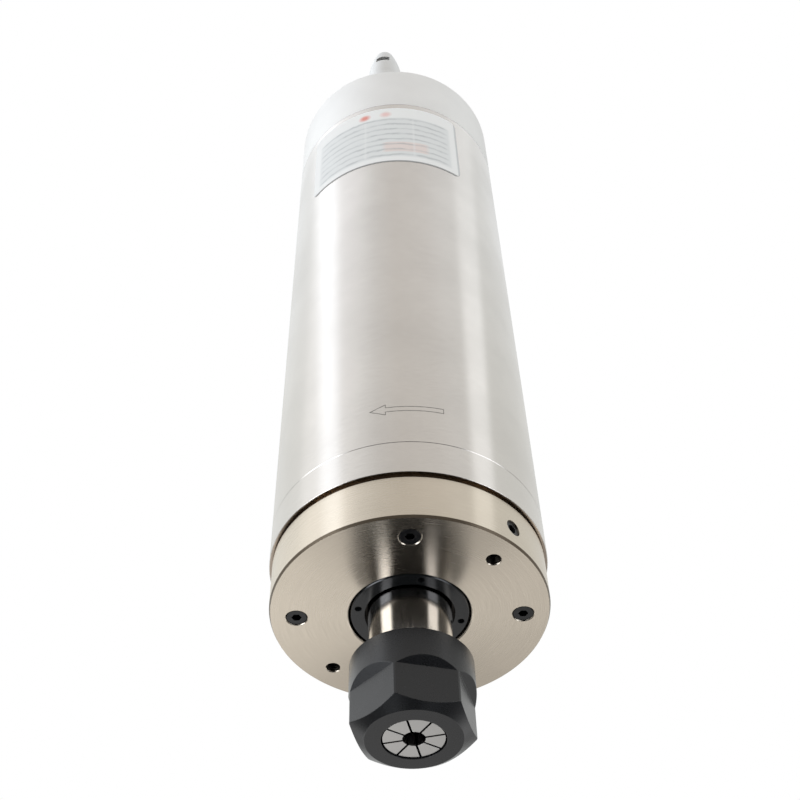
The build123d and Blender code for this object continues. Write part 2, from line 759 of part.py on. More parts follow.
lock_ring_r = flange_bore_r - lock_ring_gap
ring_edge = 0.15
pin_holes_n = 4
with BuildPart() as lock_ring:
    revolve(outline(
        (journal_r + seat, lock_ring_set + ring_edge), (journal_r + ring_edge, lock_ring_set),
        (lock_ring_r - break_edge, lock_ring_set), (lock_ring_r, lock_ring_set + break_edge),
        (lock_ring_r, lock_ring_set + lock_ring_len), (journal_r + seat, lock_ring_set + lock_ring_len),
    ), axis=Axis.Z)
    for place in ring_spots(pin_hole_circle_d, pin_holes_n, pin_hole_angle, lock_ring_set):
        with BuildSketch(Plane(place.position)):
            Circle(pin_hole_d / 2)
        extrude(amount=pin_hole_depth, mode=Mode.SUBTRACT)
finish(lock_ring, "lock_ring")

# ---------------------------------------------------------------- collet and collet nut

collet_face_r = collet_face_d / 2
head_r = collet_face_r + collet_head * tan(radians(collet_head_angle))
collet_groove_r = collet_groove_d / 2
grip_r = collet_grip_d / 2
shoulder_z = z_collet + collet_head + collet_groove_w
collet_mouth_r = mouth_r - run
collet_tail_r = collet_mouth_r - (z_collet_rear + nose_len) * taper
grip_len = 22.0
rear_relief = 0.5
shoulder_edge = 0.9
slot_start = 2.0         # rear slots start this far behind the shoulder
slot_stop = 4.0          # front slots stop this far from the rear end

with BuildPart() as collet:
    revolve(outline(
        (grip_r, z_collet), (collet_face_r, z_collet), (head_r, z_collet + collet_head),
        (collet_groove_r, z_collet + collet_head), (collet_groove_r, shoulder_z),
        (collet_mouth_r, shoulder_z + shoulder_edge), (collet_mouth_r, -nose_len),
        (collet_tail_r, z_collet_rear), (grip_r + rear_relief, z_collet_rear),
        (grip_r + rear_relief, z_collet + grip_len), (grip_r, z_collet + grip_len),
    ), axis=Axis.Z)
    slot_reach = mouth_r + 1
    for from_front in (True, False):
        first = collet_angle if from_front else collet_angle + 180 / collet_slots_n
        low = z_collet if from_front else shoulder_z + slot_start
        high = z_collet_rear - slot_stop if from_front else z_collet_rear
        with BuildSketch(Plane.XY.offset(low)):
            with PolarLocations(slot_reach / 2 + 0.5, collet_slots_n, start_angle=first):
                Rectangle(slot_reach, collet_slot_w)
        extrude(amount=high - low, mode=Mode.SUBTRACT)
finish(collet, "collet")

nut_r = nut_d / 2
nut_face_r = nut_face_d / 2
nut_bore_r = thread_r + run
nut_mouth_r = nut_mouth_d / 2
lip_r = (collet_groove_r + head_r) / 2
lip_low = z_collet + collet_head + run
lip_high = shoulder_z - 0.3
nose_room = 0.4          # gap between the shaft's nose and the nut's inner step
bore_run = 1.0
cone_run = tan(radians(collet_head_angle))
seat_r = head_r + run / cos(radians(collet_head_angle))
flat_r = nut_flats / 2
flat_z = z_nut_face + nut_flat_len
nut_edge = 0.5
cut = 4.0                # the cutting shape for a flat stands this far outside the nut

with BuildPart() as collet_nut:
    revolve(outline(
        (nut_mouth_r, z_nut_face), (nut_face_r, z_nut_face), (nut_r, z_nut_face + nut_cone_h),
        (nut_r, -nut_rear - nut_edge), (nut_r - nut_edge, -nut_rear),
        (nut_bore_r + nut_edge, -nut_rear), (nut_bore_r, -nut_rear - nut_edge),
        (nut_bore_r, -nose_len - nose_room), (nut_bore_r - bore_run, lip_high), (lip_r, lip_high),
        (lip_r, lip_low), (seat_r, lip_low), (nut_mouth_r, lip_low - (seat_r - nut_mouth_r) / cone_run),
    ), axis=Axis.Z)
    for k in range(6):
        side = radians(nut_angle + 60 * k)
        across = (cos(side), sin(side), 0)
        along = (-sin(side), cos(side), 0)
        with BuildSketch(Plane(origin=(0, 0, 0), x_dir=across, z_dir=along)):
            with BuildLine():
                Polyline((flat_r, cut - z_nut_face), (nut_r + cut, cut - z_nut_face),
                         (nut_r + cut, flat_r - flat_z - nut_r - cut), (flat_r, -flat_z), close=True)
            make_face()
        extrude(amount=nut_r, both=True, mode=Mode.SUBTRACT)
finish(collet_nut, "collet_nut")

# ---------------------------------------------------------------- rear cap

boss_r = water_d / 2 + 3.5
screw_boss_r = m4_head_d / 2 + 1.0
hole_room = 0.5
cavity_r = body_r - cap_wall
z_cap_foot = z_rear_end
fitting_thread_r = 5.0
fitting_thread_len = cap_plate_t - 1.5
stem_thread_h = 0.3
m4_counterbore = m4_d + hole_room

with BuildPart() as rear_cap:
    revolve(outline(
        (0, z_cap_foot), (inner_r, z_cap_foot), (inner_r, z_cap), (body_r - seam_edge, z_cap),
        (body_r, z_cap + seam_edge),
        (body_r, body_len - flange_edge), (body_r - flange_edge, body_len), (0, body_len),
    ), axis=Axis.Z)
    with BuildSketch(Plane.XY.offset(z_cap_foot)):
        Circle(cavity_r)
        for place in water_places:
            with Locations((place.position.X, place.position.Y)):
                Circle(boss_r, mode=Mode.SUBTRACT)
        for place in cap_screw_places:
            with Locations((place.position.X, place.position.Y)):
                Circle(screw_boss_r, mode=Mode.SUBTRACT)
    extrude(amount=z_cap_roof - z_cap_foot, mode=Mode.SUBTRACT)
    for place in water_places:
        with BuildSketch(Plane((place.position.X, place.position.Y, z_cap_foot))):
            Circle(water_d / 2)
        extrude(amount=body_len - z_cap_foot, mode=Mode.SUBTRACT)
        with BuildSketch(Plane((place.position.X, place.position.Y, body_len))):
            Circle(fitting_thread_r + seat)
        extrude(amount=-fitting_thread_len - hole_room, mode=Mode.SUBTRACT)
    for place in cap_screw_places:
        with BuildSketch(Plane((place.position.X, place.position.Y, z_cap_foot))):
            Circle(m4_d / 2 + screw_play)
        extrude(amount=body_len - z_cap_foot, mode=Mode.SUBTRACT)
        with BuildSketch(Plane((place.position.X, place.position.Y, body_len))):
            Circle(m4_head_d / 2 + head_play)
        extrude(amount=-m4_counterbore, mode=Mode.SUBTRACT)
    with BuildSketch(Plane((socket_place.position.X, socket_place.position.Y, body_len))):
        Circle(socket_d / 2 + screw_play)
    extrude(amount=-cap_plate_t, mode=Mode.SUBTRACT)
finish(rear_cap, "rear_cap")

cap_heads = [Pos(0, 0, body_len - m4_counterbore + m4_d) * place for place in cap_screw_places]
cap_screws_rear = cap_screws(cap_heads, m4_d, m4_head_d, m4_key, m4_len, -1)
finish(cap_screws_rear, "cap_screws")

# ---------------------------------------------------------------- water fittings

z_fitting_top = body_len + fitting_h
z_hose_seat = z_fitting_top - hose_depth
z_fitting_nut = z_fitting_top - fitting_nut_len
z_shoulder = z_fitting_top - fitting_round
z_waist = (z_fitting_nut + z_shoulder) / 2
top_r = fitting_top_d / 2
fitting_r = fitting_d / 2
hose_r = hose_d / 2
bore_r = water_d / 2 - 0.5
hex_r = fitting_r - 0.4
hex_turn = 15
stem_top = 1.0           # the stem ends this far under the hose

with BuildPart() as fitting_bodies:
    for place in water_places:
        with BuildSketch(Plane((place.position.X, place.position.Y, body_len + washer_t))):
            RegularPolygon(hex_r, 6, major_radius=False, rotation=hex_turn)
        extrude(amount=fitting_base_h)
        with BuildSketch(Plane((place.position.X, place.position.Y, body_len - fitting_thread_len))):
            Circle(fitting_thread_r)
        extrude(amount=fitting_thread_len + washer_t)
        with BuildSketch(Plane((place.position.X, place.position.Y, body_len + washer_t))):
            Circle(fitting_thread_r - stem_thread_h)
        extrude(amount=fitting_h - hose_depth - stem_top - washer_t)
        with BuildSketch(Plane((place.position.X, place.position.Y, body_len - fitting_thread_len))):
            Circle(bore_r)
        extrude(amount=fitting_thread_len + fitting_h, mode=Mode.SUBTRACT)
finish(fitting_bodies, "fitting_bodies")

with BuildPart() as fitting_washers:
    for place in water_places:
        with BuildSketch(Plane((place.position.X, place.position.Y, body_len))):
            Circle(fitting_r)
            Circle(fitting_thread_r + screw_play, mode=Mode.SUBTRACT)
        extrude(amount=washer_t)
finish(fitting_washers, "fitting_washers")

with BuildPart() as fitting_nuts:
    for place in water_places:
        x, y = place.position.X, place.position.Y
        with BuildSketch(Plane(origin=(x, y, 0), x_dir=(1, 0, 0), z_dir=(0, -1, 0))):
            with BuildLine():
                Line((0, z_fitting_nut), (fitting_r, z_fitting_nut))
                ThreePointArc((fitting_r, z_fitting_nut), (fitting_waist_d / 2, z_waist), (top_r, z_shoulder))
                RadiusArc((top_r, z_shoulder), (top_r - fitting_round, z_fitting_top), -fitting_round)
                Polyline((top_r - fitting_round, z_fitting_top), (0, z_fitting_top), (0, z_fitting_nut))
            make_face()
        revolve(axis=Axis((x, y, 0), (0, 0, 1)))
        with BuildSketch(Plane((x, y, z_fitting_nut))):
            Circle(fitting_thread_r + seat)
        extrude(amount=z_hose_seat - z_fitting_nut, mode=Mode.SUBTRACT)
        with BuildSketch(Plane((x, y, z_hose_seat))):
            Circle(hose_r)
        extrude(amount=hose_depth, mode=Mode.SUBTRACT)
        for side in (channel_start, channel_start + 180):
            outward = (cos(radians(side)), sin(radians(side)), 0)
            depth = fitting_r - spanner_slot_depth
            slot_plane = Plane(
                origin=(x + depth * outward[0], y + depth * outward[1],
                        z_fitting_top - spanner_slot_top - spanner_slot_h / 2),
                x_dir=(0, 0, 1), z_dir=outward,
            )
            with BuildSketch(slot_plane):
                Rectangle(spanner_slot_h, spanner_slot_w)
            extrude(amount=fitting_r, mode=Mode.SUBTRACT)
finish(fitting_nuts, "fitting_nuts")

# ---------------------------------------------------------------- power socket and motor leads

socket_x, socket_y = socket_place.position.X, socket_place.position.Y
socket_r = socket_d / 2
socket_wall = 1.4
socket_bore_r = socket_r - socket_wall
socket_edge = 0.5
key_w = 2.0              # notch in the shell for the plug's key
key_depth = 4.0
insert_set = 5.0         # the insert's face lies this deep in the shell
insert_foot = 1.0
pin_set = 1.0
pin_tail = 5.0
gasket_t = 0.8
socket_nut_t = 3.0
socket_nut_flats = 18.0
z_socket_top = body_len + socket_h
z_socket_low = z_cap_roof - socket_nut_t - insert_foot
pin_r = socket_pin_d / 2


def socket_plane(height):
    """A plane across the socket's axis, its X along the radius of the body."""
    outward = (cos(radians(socket_angle)), sin(radians(socket_angle)), 0)
    return Plane(origin=(socket_x, socket_y, height), x_dir=outward, z_dir=(0, 0, 1))


with BuildPart() as socket_gasket:
    with BuildSketch(socket_plane(body_len)):
        Circle(socket_flange_d / 2)
        Circle(socket_r + screw_play, mode=Mode.SUBTRACT)
    extrude(amount=gasket_t)
finish(socket_gasket, "socket_gasket")

with BuildPart() as socket_shell:
    with BuildSketch(socket_plane(z_socket_low)):
        Circle(socket_r)
    extrude(amount=z_socket_top - z_socket_low)
    with BuildSketch(socket_plane(body_len + gasket_t)):
        Circle(socket_flange_d / 2)
    extrude(amount=socket_flange_t)
    with BuildSketch(socket_plane(z_socket_low)):
        Circle(socket_bore_r)
    extrude(amount=z_socket_top - z_socket_low, mode=Mode.SUBTRACT)
    with BuildSketch(socket_plane(z_socket_top)):
        with Locations((socket_bore_r, 0)):
            Rectangle(socket_wall, key_w)
    extrude(amount=-key_depth, mode=Mode.SUBTRACT)
    rim = socket_shell.edges().filter_by(GeomType.CIRCLE).group_by(Axis.Z)[-1].sort_by(SortBy.RADIUS)[-1:]
    chamfer(rim, socket_edge)
finish(socket_shell, "socket_shell")

with BuildPart() as socket_nut:
    with BuildSketch(socket_plane(z_cap_roof)):
        RegularPolygon(socket_nut_flats / 2, 6, major_radius=False, rotation=30)
        Circle(socket_r + seat, mode=Mode.SUBTRACT)
    extrude(amount=-socket_nut_t)
finish(socket_nut, "socket_nut")

with BuildPart() as socket_insert:
    with BuildSketch(socket_plane(z_socket_low + insert_foot)):
        Circle(socket_bore_r - seat)
        with PolarLocations(socket_pin_circle_d / 2, socket_pins_n, start_angle=45):
            Circle(pin_r + seat, mode=Mode.SUBTRACT)
    extrude(amount=z_socket_top - insert_set - z_socket_low)
finish(socket_insert, "socket_insert")

with BuildPart() as socket_pins:
    with BuildSketch(socket_plane(z_socket_low - pin_tail)):
        with PolarLocations(socket_pin_circle_d / 2, socket_pins_n, start_angle=45):
            Circle(pin_r)
    extrude(amount=z_socket_top - pin_set - z_socket_low + pin_tail)
finish(socket_pins, "socket_pins")

with BuildPart() as motor_leads:
    with BuildSketch(socket_plane(z_core_end + turns_h)):
        with PolarLocations(socket_pin_circle_d / 2, socket_pins_n, start_angle=45):
            Circle(lead_d / 2)
    extrude(amount=z_socket_low - 5.0 - z_core_end - turns_h)
finish(motor_leads, "motor_leads")
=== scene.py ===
from math import cos, pi, radians, sin, tau

import bpy
import numpy as np
from bpy.props import FloatProperty, FloatVectorProperty, PointerProperty
from mathutils import Matrix, Vector


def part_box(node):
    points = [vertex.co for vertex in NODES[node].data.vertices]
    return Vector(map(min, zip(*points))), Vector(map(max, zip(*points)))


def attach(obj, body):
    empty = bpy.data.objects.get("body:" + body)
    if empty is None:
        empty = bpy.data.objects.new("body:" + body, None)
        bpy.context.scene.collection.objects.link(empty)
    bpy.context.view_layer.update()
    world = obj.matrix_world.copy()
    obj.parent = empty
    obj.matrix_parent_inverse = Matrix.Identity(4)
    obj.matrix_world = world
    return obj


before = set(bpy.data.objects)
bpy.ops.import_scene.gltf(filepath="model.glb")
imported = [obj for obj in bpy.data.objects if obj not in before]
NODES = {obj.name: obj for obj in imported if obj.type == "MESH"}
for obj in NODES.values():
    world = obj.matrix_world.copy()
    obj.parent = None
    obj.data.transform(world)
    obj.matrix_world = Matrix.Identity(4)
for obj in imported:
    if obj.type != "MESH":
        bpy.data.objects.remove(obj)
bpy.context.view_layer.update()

bl_info = {
    "name": "Motor Spindle Finishes",
    "version": (1, 0, 0),
    "blender": (4, 5, 0),
    "location": "View3D > Sidebar > Spindle",
    "description": "Finishes, threads, rating plate and studio for a water-cooled motor spindle",
    "category": "Object",
}

# Zones of painted shade, in metres: inner radius, outer radius, low and high. They darken the open
# groove, the chamfer on the face and the neck inside the lock ring
OPEN_GROOVE = (0.0, 0.0398, 0.0149, 0.0161)
FACE_CHAMFER = (0.03869, 0.0393, -0.001, 0.00081)
NECK_GAP = (0.0, 0.0125, 0.0, 0.0035)
# Painted shade on the flange screws: their sockets and sides go dark from this far behind the heads'
# faces
SCREW_SHADE_DEPTH = 0.0002      # the screws' heads are dark from this far behind their faces


# ------------------------------------------------------------------ settings

def length(label, text, default):
    """A length in metres that the sidebar shows as a distance."""
    return FloatProperty(name=label, description=text, default=default, unit="LENGTH", precision=5)


def angle(label, text, degrees):
    """An angle given in degrees and stored in radians."""
    return FloatProperty(name=label, description=text, default=radians(degrees), subtype="ANGLE")


def share(label, text, default):
    """A plain number from 0 to 1."""
    return FloatProperty(name=label, description=text, default=default, min=0.0, max=1.0,
                         subtype="FACTOR")


def colour(label, text, default):
    """A linear colour."""
    return FloatVectorProperty(name=label, description=text, default=default, size=3, min=0.0, max=1.0,
                               subtype="COLOR")


def place(label, text, default):
    """A point in metres."""
    return FloatVectorProperty(name=label, description=text, default=default, size=3,
                               subtype="TRANSLATION", unit="LENGTH")


class StageSettings(bpy.types.PropertyGroup):
    """Camera, floor and light of the studio."""
    lens: FloatProperty(name="Lens", description="Focal length on a 36 mm sensor", default=54.7226,
                        unit="CAMERA")
    camera_place: place("Camera", "Where the camera stands, below and before the nose",
                        (0.0, -0.26281, -0.22036))
    camera_target: place("Target", "The point on the picture's middle", (-0.00099, 0.0, 0.09353))
    camera_roll: angle("Roll", "Turn of the camera about its own axis", -1.714)
    floor_height: length("Floor height", "Height of the floor in the part's frame", -0.30)
    floor_size: length("Floor size", "Side of the square floor", 6.0)
    floor_colour: colour("Floor colour", "Pale floor", (0.86, 0.86, 0.85))
    studio_level: FloatProperty(name="Studio level", description="Strength of the surrounding light",
                                default=1.0)
    left_panel: colour("Left panel", "Light of the slanted panel on the left", (0.42, 0.46, 0.52))
    right_panel: colour("Right panel", "Light of the narrow panel on the right", (0.50, 0.52, 0.55))
    low_panel: colour("Low panel", "Light low on the left, for the nut's flats", (0.80, 0.82, 0.85))
    key_power: FloatProperty(name="Key power", description="Power of the large soft lamp", default=0.25,
                             unit="POWER")
    key_place: place("Key place", "Where the large soft lamp stands", (-0.84, -0.10, 1.12))
    key_width: length("Key width", "Width of the large soft lamp", 0.5)
    key_height: length("Key height", "Height of the large soft lamp", 1.2)


class FinishSettings(bpy.types.PropertyGroup):
    """Colours of the outer finishes."""
    body_colour: colour("Body steel", "Ground stainless steel of the tube", (0.66, 0.63, 0.595))
    nickel_colour: colour("Nickel", "Satin nickel of the front flange", (0.68, 0.61, 0.51))
    cap_colour: colour("Cap", "Blasted aluminium of the rear cap", (1.0, 1.0, 0.985))
    oxide_colour: colour("Black oxide", "Black oxide on the nut", (0.0065, 0.007, 0.0085))
    screw_colour: colour("Screw black", "Black oxide on the screws", (0.005, 0.005, 0.006))
    shaft_colour: colour("Ground shaft", "Bright ground steel of the neck", (0.66, 0.64, 0.62))
    collet_colour: colour("Collet", "Ground face of the collet", (0.58, 0.575, 0.56))
    fitting_colour: colour("Fitting", "Dull plated fittings", (0.74, 0.74, 0.73))
    brush_depth: length("Brush depth", "Depth of the finest turning marks", 0.000004)
    wear: share("Edge wear", "How much bare metal shows on the corners of black parts", 0.35)


class PlateSettings(bpy.types.PropertyGroup):
    """Size and colours of the blank rating plate."""
    plate_top: length("Top", "Height of the plate's upper edge", 0.2275)
    plate_bottom: length("Bottom", "Height of the plate's lower edge", 0.1845)
    plate_left: angle("Left edge", "Direction of the left edge", -142.0)
    plate_right: angle("Right edge", "Direction of the right edge", -52.4)
    plate_corner: length("Corner", "Radius of the corners", 0.003)
    plate_thickness: length("Thickness", "Thickness of the plate", 0.00018)
    plate_white: colour("White", "Printed white", (0.87, 0.88, 0.88))
    # The grey also serves as painted shade along the plate's right edge
    plate_grey: colour("Grey", "Ruled rows", (0.30, 0.32, 0.34))
    plate_edge_shade: colour("Edge", "Shaded lower edge", (0.10, 0.105, 0.11))
    plate_ground: colour("Ground", "Bluish ground under the rows", (0.76, 0.78, 0.785))
    plate_tint: colour("Tint", "Pale warm band", (0.82, 0.62, 0.56))
    plate_red: colour("Red", "Two round marks", (0.78, 0.16, 0.10))


class ArrowSettings(bpy.types.PropertyGroup):
    """The outline arrow for the turning direction."""
    arrow_height: length("Height", "Height of the arrow's middle line", 0.0420)
    arrow_middle: angle("Direction", "Direction that arc lengths are counted from", -90.0)
    arrow_tip: length("Tip", "Arc length from the middle to the tip", -0.0096)
    arrow_neck: length("Neck", "Arc length from the middle to the head's base", -0.0051)
    arrow_tail: length("Tail", "Arc length from the middle to the tail", 0.0116)
    arrow_head: length("Head", "Half width of the head", 0.00215)
    arrow_body: length("Body", "Half width of the body", 0.0009)
    arrow_line: length("Line", "Width of the marked line", 0.00022)


class ThreadSettings(bpy.types.PropertyGroup):
    """Threads that the CAD solids leave out."""
    root_sink: length("Root sink", "How far the roots lie inside their solids", 0.00002)
    nose_radius: length("Nose radius", "Outer radius of the nose thread", 0.01246)
    nose_root: length("Nose root", "Root radius of the nose thread", 0.01158)
    nose_low: length("Nose end", "Height of the thread's front end", -0.0330)
    nose_high: length("Nose run-out", "Height of the thread's rear end", -0.0184)
    nose_pitch: length("Nose pitch", "Pitch of the nose thread", 0.0015)
    nut_radius: length("Nut radius", "Root radius of the nut thread", 0.01255)
    nut_crest: length("Nut crest", "Crest radius of the nut thread", 0.01172)
    nut_low: length("Nut thread front", "Height of the nut thread's front end", -0.0330)
    nut_high: length("Nut thread rear", "Height of the nut thread's rear end", -0.0180)
    jack_radius: length("Jack radius", "Root radius of the jack threads", 0.0020)
    jack_crest: length("Jack crest", "Crest radius of the jack threads", 0.00168)
    jack_pitch: length("Jack pitch", "Pitch of the jack threads", 0.0007)
    jack_mouth: length("Jack mouth", "Height of the jack threads' front end", 0.0002)
    jack_depth: length("Jack depth", "Height of the jack threads' rear end", 0.0110)
    jack_circle: length("Jack circle", "Radius of the circle of jack holes", 0.0315)
    jack_angle: angle("Jack direction", "Direction of the first jack hole", -43.8)


class SkirtSettings(bpy.types.PropertyGroup):
    """Thin skirts that close the gap between each water fitting and its hexagon."""
    skirt_low: length("Low edge", "Height of the skirt's lower edge", 0.26805)
    skirt_high: length("High edge", "Height of the skirt's upper edge", 0.27405)
    skirt_radius: length("Radius", "Radius at the upper edge", 0.00762)
    skirt_flare: length("Flare", "Growth of the radius at the lower edge", 0.0006)
    skirt_wall: length("Wall", "Thickness of the skirt", 0.0003)
    skirt_circle: length("Circle", "Radius of the circle of fittings", 0.0282)
    skirt_front: angle("Front fitting", "Direction of the front fitting", -96.5)
    skirt_rear: angle("Rear fitting", "Direction of the rear fitting", 113.5)


# ------------------------------------------------------------------ node helpers

def new_material(name):
    """An empty node material with its Principled shader and output."""
    material = bpy.data.materials.new(name)
    material.use_nodes = True
    tree = material.node_tree
    return material, tree, tree.nodes["Principled BSDF"]


def add(tree, kind, **values):
    """A node of a kind; values set sockets by name, or the node's own settings where no socket fits."""
    node = tree.nodes.new(kind)
    for key, value in values.items():
        label = key.replace("_", " ")
        if label in node.inputs:
            node.inputs[label].default_value = value
        else:
            setattr(node, key, value)
    return node


def calc(tree, operation, a, b=None):
    """A Math node; a and b are sockets or numbers."""
    node = tree.nodes.new("ShaderNodeMath")
    node.operation = operation
    for socket, value in zip(node.inputs, (a, b)):
        if value is None:
            continue
        if isinstance(value, (int, float)):
            socket.default_value = value
        else:
            tree.links.new(value, socket)
    return node.outputs[0]


def product(tree, first, *others):
    """The product of sockets and numbers."""
    for other in others:
        first = calc(tree, "MULTIPLY", first, other)
    return first


def hypotenuse(tree, a, b):
    """The square root of a squared plus b squared."""
    return calc(tree, "SQRT", calc(tree, "ADD", product(tree, a, a), product(tree, b, b)))


def axes(tree, coordinates):
    """The X, Y and Z of a coordinates socket."""
    node = tree.nodes.new("ShaderNodeSeparateXYZ")
    tree.links.new(coordinates, node.inputs[0])
    return node.outputs


def ramp(tree, factor, *stops):
    """A colour ramp over (position, value) or (position, colour) stops."""
    node = tree.nodes.new("ShaderNodeValToRGB")
    elements = node.color_ramp.elements
    while len(elements) < len(stops):
        elements.new(0.5)
    for element, (position, value) in zip(elements, stops):
        element.position = position
        element.color = (*value, 1.0) if isinstance(value, tuple) else (value, value, value, 1.0)
    tree.links.new(factor, node.inputs["Fac"])
    return node.outputs["Color"]


def mix(tree, factor, a, b, blend="MIX"):
    """A colour mix; each of factor, a and b is a socket or a value."""
    node = tree.nodes.new("ShaderNodeMix")
    node.data_type = "RGBA"
    node.blend_type = blend
    for socket, value in ((node.inputs["Factor"], factor), (node.inputs[6], a), (node.inputs[7], b)):
        if isinstance(value, bpy.types.NodeSocket):
            tree.links.new(value, socket)
        elif isinstance(value, (int, float)):
            socket.default_value = value if socket.type == "VALUE" else (value, value, value, 1.0)
        else:
            socket.default_value = (*value, 1.0)
    return node.outputs[2]


def object_coordinates(tree):
    """The Object coordinates socket, in metres, in the part's frame."""
    return tree.nodes.new("ShaderNodeTexCoord").outputs["Object"]


def turning_coordinates(tree, along, across):
    """Coordinates for marks left by turning: (x / r, y / r) * along, and (r + z) * across.

    Lines of equal r + z run round the Z axis on cylinders and on faces alike.
    """
    x, y, z = axes(tree, object_coordinates(tree))
    r = hypotenuse(tree, x, y)
    join = tree.nodes.new("ShaderNodeCombineXYZ")
    tree.links.new(product(tree, calc(tree, "DIVIDE", x, r), along), join.inputs[0])
    tree.links.new(product(tree, calc(tree, "DIVIDE", y, r), along), join.inputs[1])
    tree.links.new(product(tree, calc(tree, "ADD", r, z), across), join.inputs[2])
    return join.outputs[0]


def noise(tree, vector, scale, detail=3.0, roughness=0.55):
    """The value of a noise texture at a vector."""
    node = add(tree, "ShaderNodeTexNoise", Scale=scale, Detail=detail, Roughness=roughness)
    tree.links.new(vector, node.inputs["Vector"])
    return node.outputs["Fac"]


def bump(tree, shader, height, distance, normal=None):
    """Feeds a height through a Bump node into the shader's normal."""
    node = add(tree, "ShaderNodeBump", Distance=distance)
    tree.links.new(height, node.inputs["Height"])
    if normal is not None:
        tree.links.new(normal, node.inputs["Normal"])
    tree.links.new(node.outputs["Normal"], shader.inputs["Normal"])


def round_edges(tree, radius):
    """A normal that rounds the corners of the solid by a radius."""
    node = tree.nodes.new("ShaderNodeBevel")
    node.samples = 6
    node.inputs["Radius"].default_value = radius
    return node.outputs["Normal"]


def edge_mask(tree, radius, low, high):
    """1 on the solid's corners and 0 elsewhere, from how far the rounded normal leaves the flat one."""
    geometry = tree.nodes.new("ShaderNodeNewGeometry")
    dot = add(tree, "ShaderNodeVectorMath", operation="DOT_PRODUCT")
    tree.links.new(round_edges(tree, radius), dot.inputs[0])
    tree.links.new(geometry.outputs["Normal"], dot.inputs[1])
    return ramp(tree, calc(tree, "SUBTRACT", 1.0, dot.outputs["Value"]), (low, 0.0), (high, 1.0))


def inside_zone(tree, inner, outer, low, high):
    """1 where the distance from the Z axis lies between two radii and the height between low and high."""
    x, y, z = axes(tree, object_coordinates(tree))
    r = hypotenuse(tree, x, y)
    level = product(tree, calc(tree, "GREATER_THAN", z, low), calc(tree, "LESS_THAN", z, high))
    ring = product(tree, calc(tree, "GREATER_THAN", r, inner), calc(tree, "LESS_THAN", r, outer))
    return product(tree, level, ring)


def window(tree, value, low, high, soft=0.004):
    """1 where a value lies between low and high, with soft ends."""
    rise = calc(tree, "DIVIDE", calc(tree, "SUBTRACT", value, low), soft)
    fall = calc(tree, "DIVIDE", calc(tree, "SUBTRACT", high, value), soft)
    node = add(tree, "ShaderNodeMath", operation="MINIMUM", use_clamp=True)
    tree.links.new(rise, node.inputs[0])
    tree.links.new(fall, node.inputs[1])
    return node.outputs[0]


def tint(colour_value, factor):
    """A colour made lighter or darker."""
    return tuple(min(1.0, channel * factor) for channel in colour_value)


# ------------------------------------------------------------------ finishes

def turned_metal(name, base, roughness, along=14.0, across=6000.0, depth=0.000003, smudge=0.06,
                 streak=0.05, anisotropy=0.0, corner=0.0, painted_shade=()):
    """Metal with fine marks round the Z axis, faint smudges and rounded corners.

    The last argument lists zones of painted shade, each as (share of the colour, inner radius, outer
    radius, low, high).
    """
    material, tree, shader = new_material(name)
    shader.inputs["Metallic"].default_value = 1.0
    shader.inputs["Anisotropic"].default_value = anisotropy
    if anisotropy:
        shader.inputs["Anisotropic Rotation"].default_value = 0.25
        tangent = add(tree, "ShaderNodeTangent", direction_type="RADIAL", axis="Z")
        tree.links.new(tangent.outputs[0], shader.inputs["Tangent"])
    marks = noise(tree, turning_coordinates(tree, along, across), 1.0, detail=4.0, roughness=0.7)
    cloud = noise(tree, object_coordinates(tree), 34.0, detail=4.0)
    streaks = ramp(tree, marks, (0.3, 0.0), (0.7, 1.0))
    shade = mix(tree, streaks, tint(base, 1 - streak), tint(base, 1 + streak))
    spots = ramp(tree, cloud, (0.35, 1.0 - smudge), (0.65, 1.0))
    shade = mix(tree, 1.0, shade, spots, "MULTIPLY")
    # Painted shade: a warm, darker copy of the colour laid on each listed zone
    warm = (base[0], base[1] * 0.9, base[2] * 0.8)
    for left, *zone in painted_shade:
        shade = mix(tree, inside_zone(tree, *zone), shade, tint(warm, left))
    tree.links.new(shade, shader.inputs["Base Color"])
    rough = calc(tree, "ADD", product(tree, marks, 0.10), roughness - 0.05)
    rough = calc(tree, "ADD", rough, product(tree, calc(tree, "SUBTRACT", 0.5, cloud), 0.12))
    tree.links.new(rough, shader.inputs["Roughness"])
    bump(tree, shader, marks, depth, normal=round_edges(tree, corner) if corner else None)
    return material


def blasted_metal(name, base, roughness=0.5):
    """Matte metal with a fine even grain, as glass beads leave it."""
    material, tree, shader = new_material(name)
    shader.inputs["Metallic"].default_value = 1.0
    spot = object_coordinates(tree)
    grain = noise(tree, spot, 5200.0, detail=3.0, roughness=0.6)
    cloud = noise(tree, spot, 40.0, detail=3.0)
    shade = mix(tree, grain, tint(base, 0.93), tint(base, 1.05))
    tree.links.new(mix(tree, 1.0, shade, ramp(tree, cloud, (0.3, 0.95), (0.7, 1.0)), "MULTIPLY"),
                   shader.inputs["Base Color"])
    tree.links.new(calc(tree, "ADD", product(tree, grain, 0.16), roughness - 0.08),
                   shader.inputs["Roughness"])
    bump(tree, shader, grain, 0.00001, normal=round_edges(tree, 0.0004))
    return material


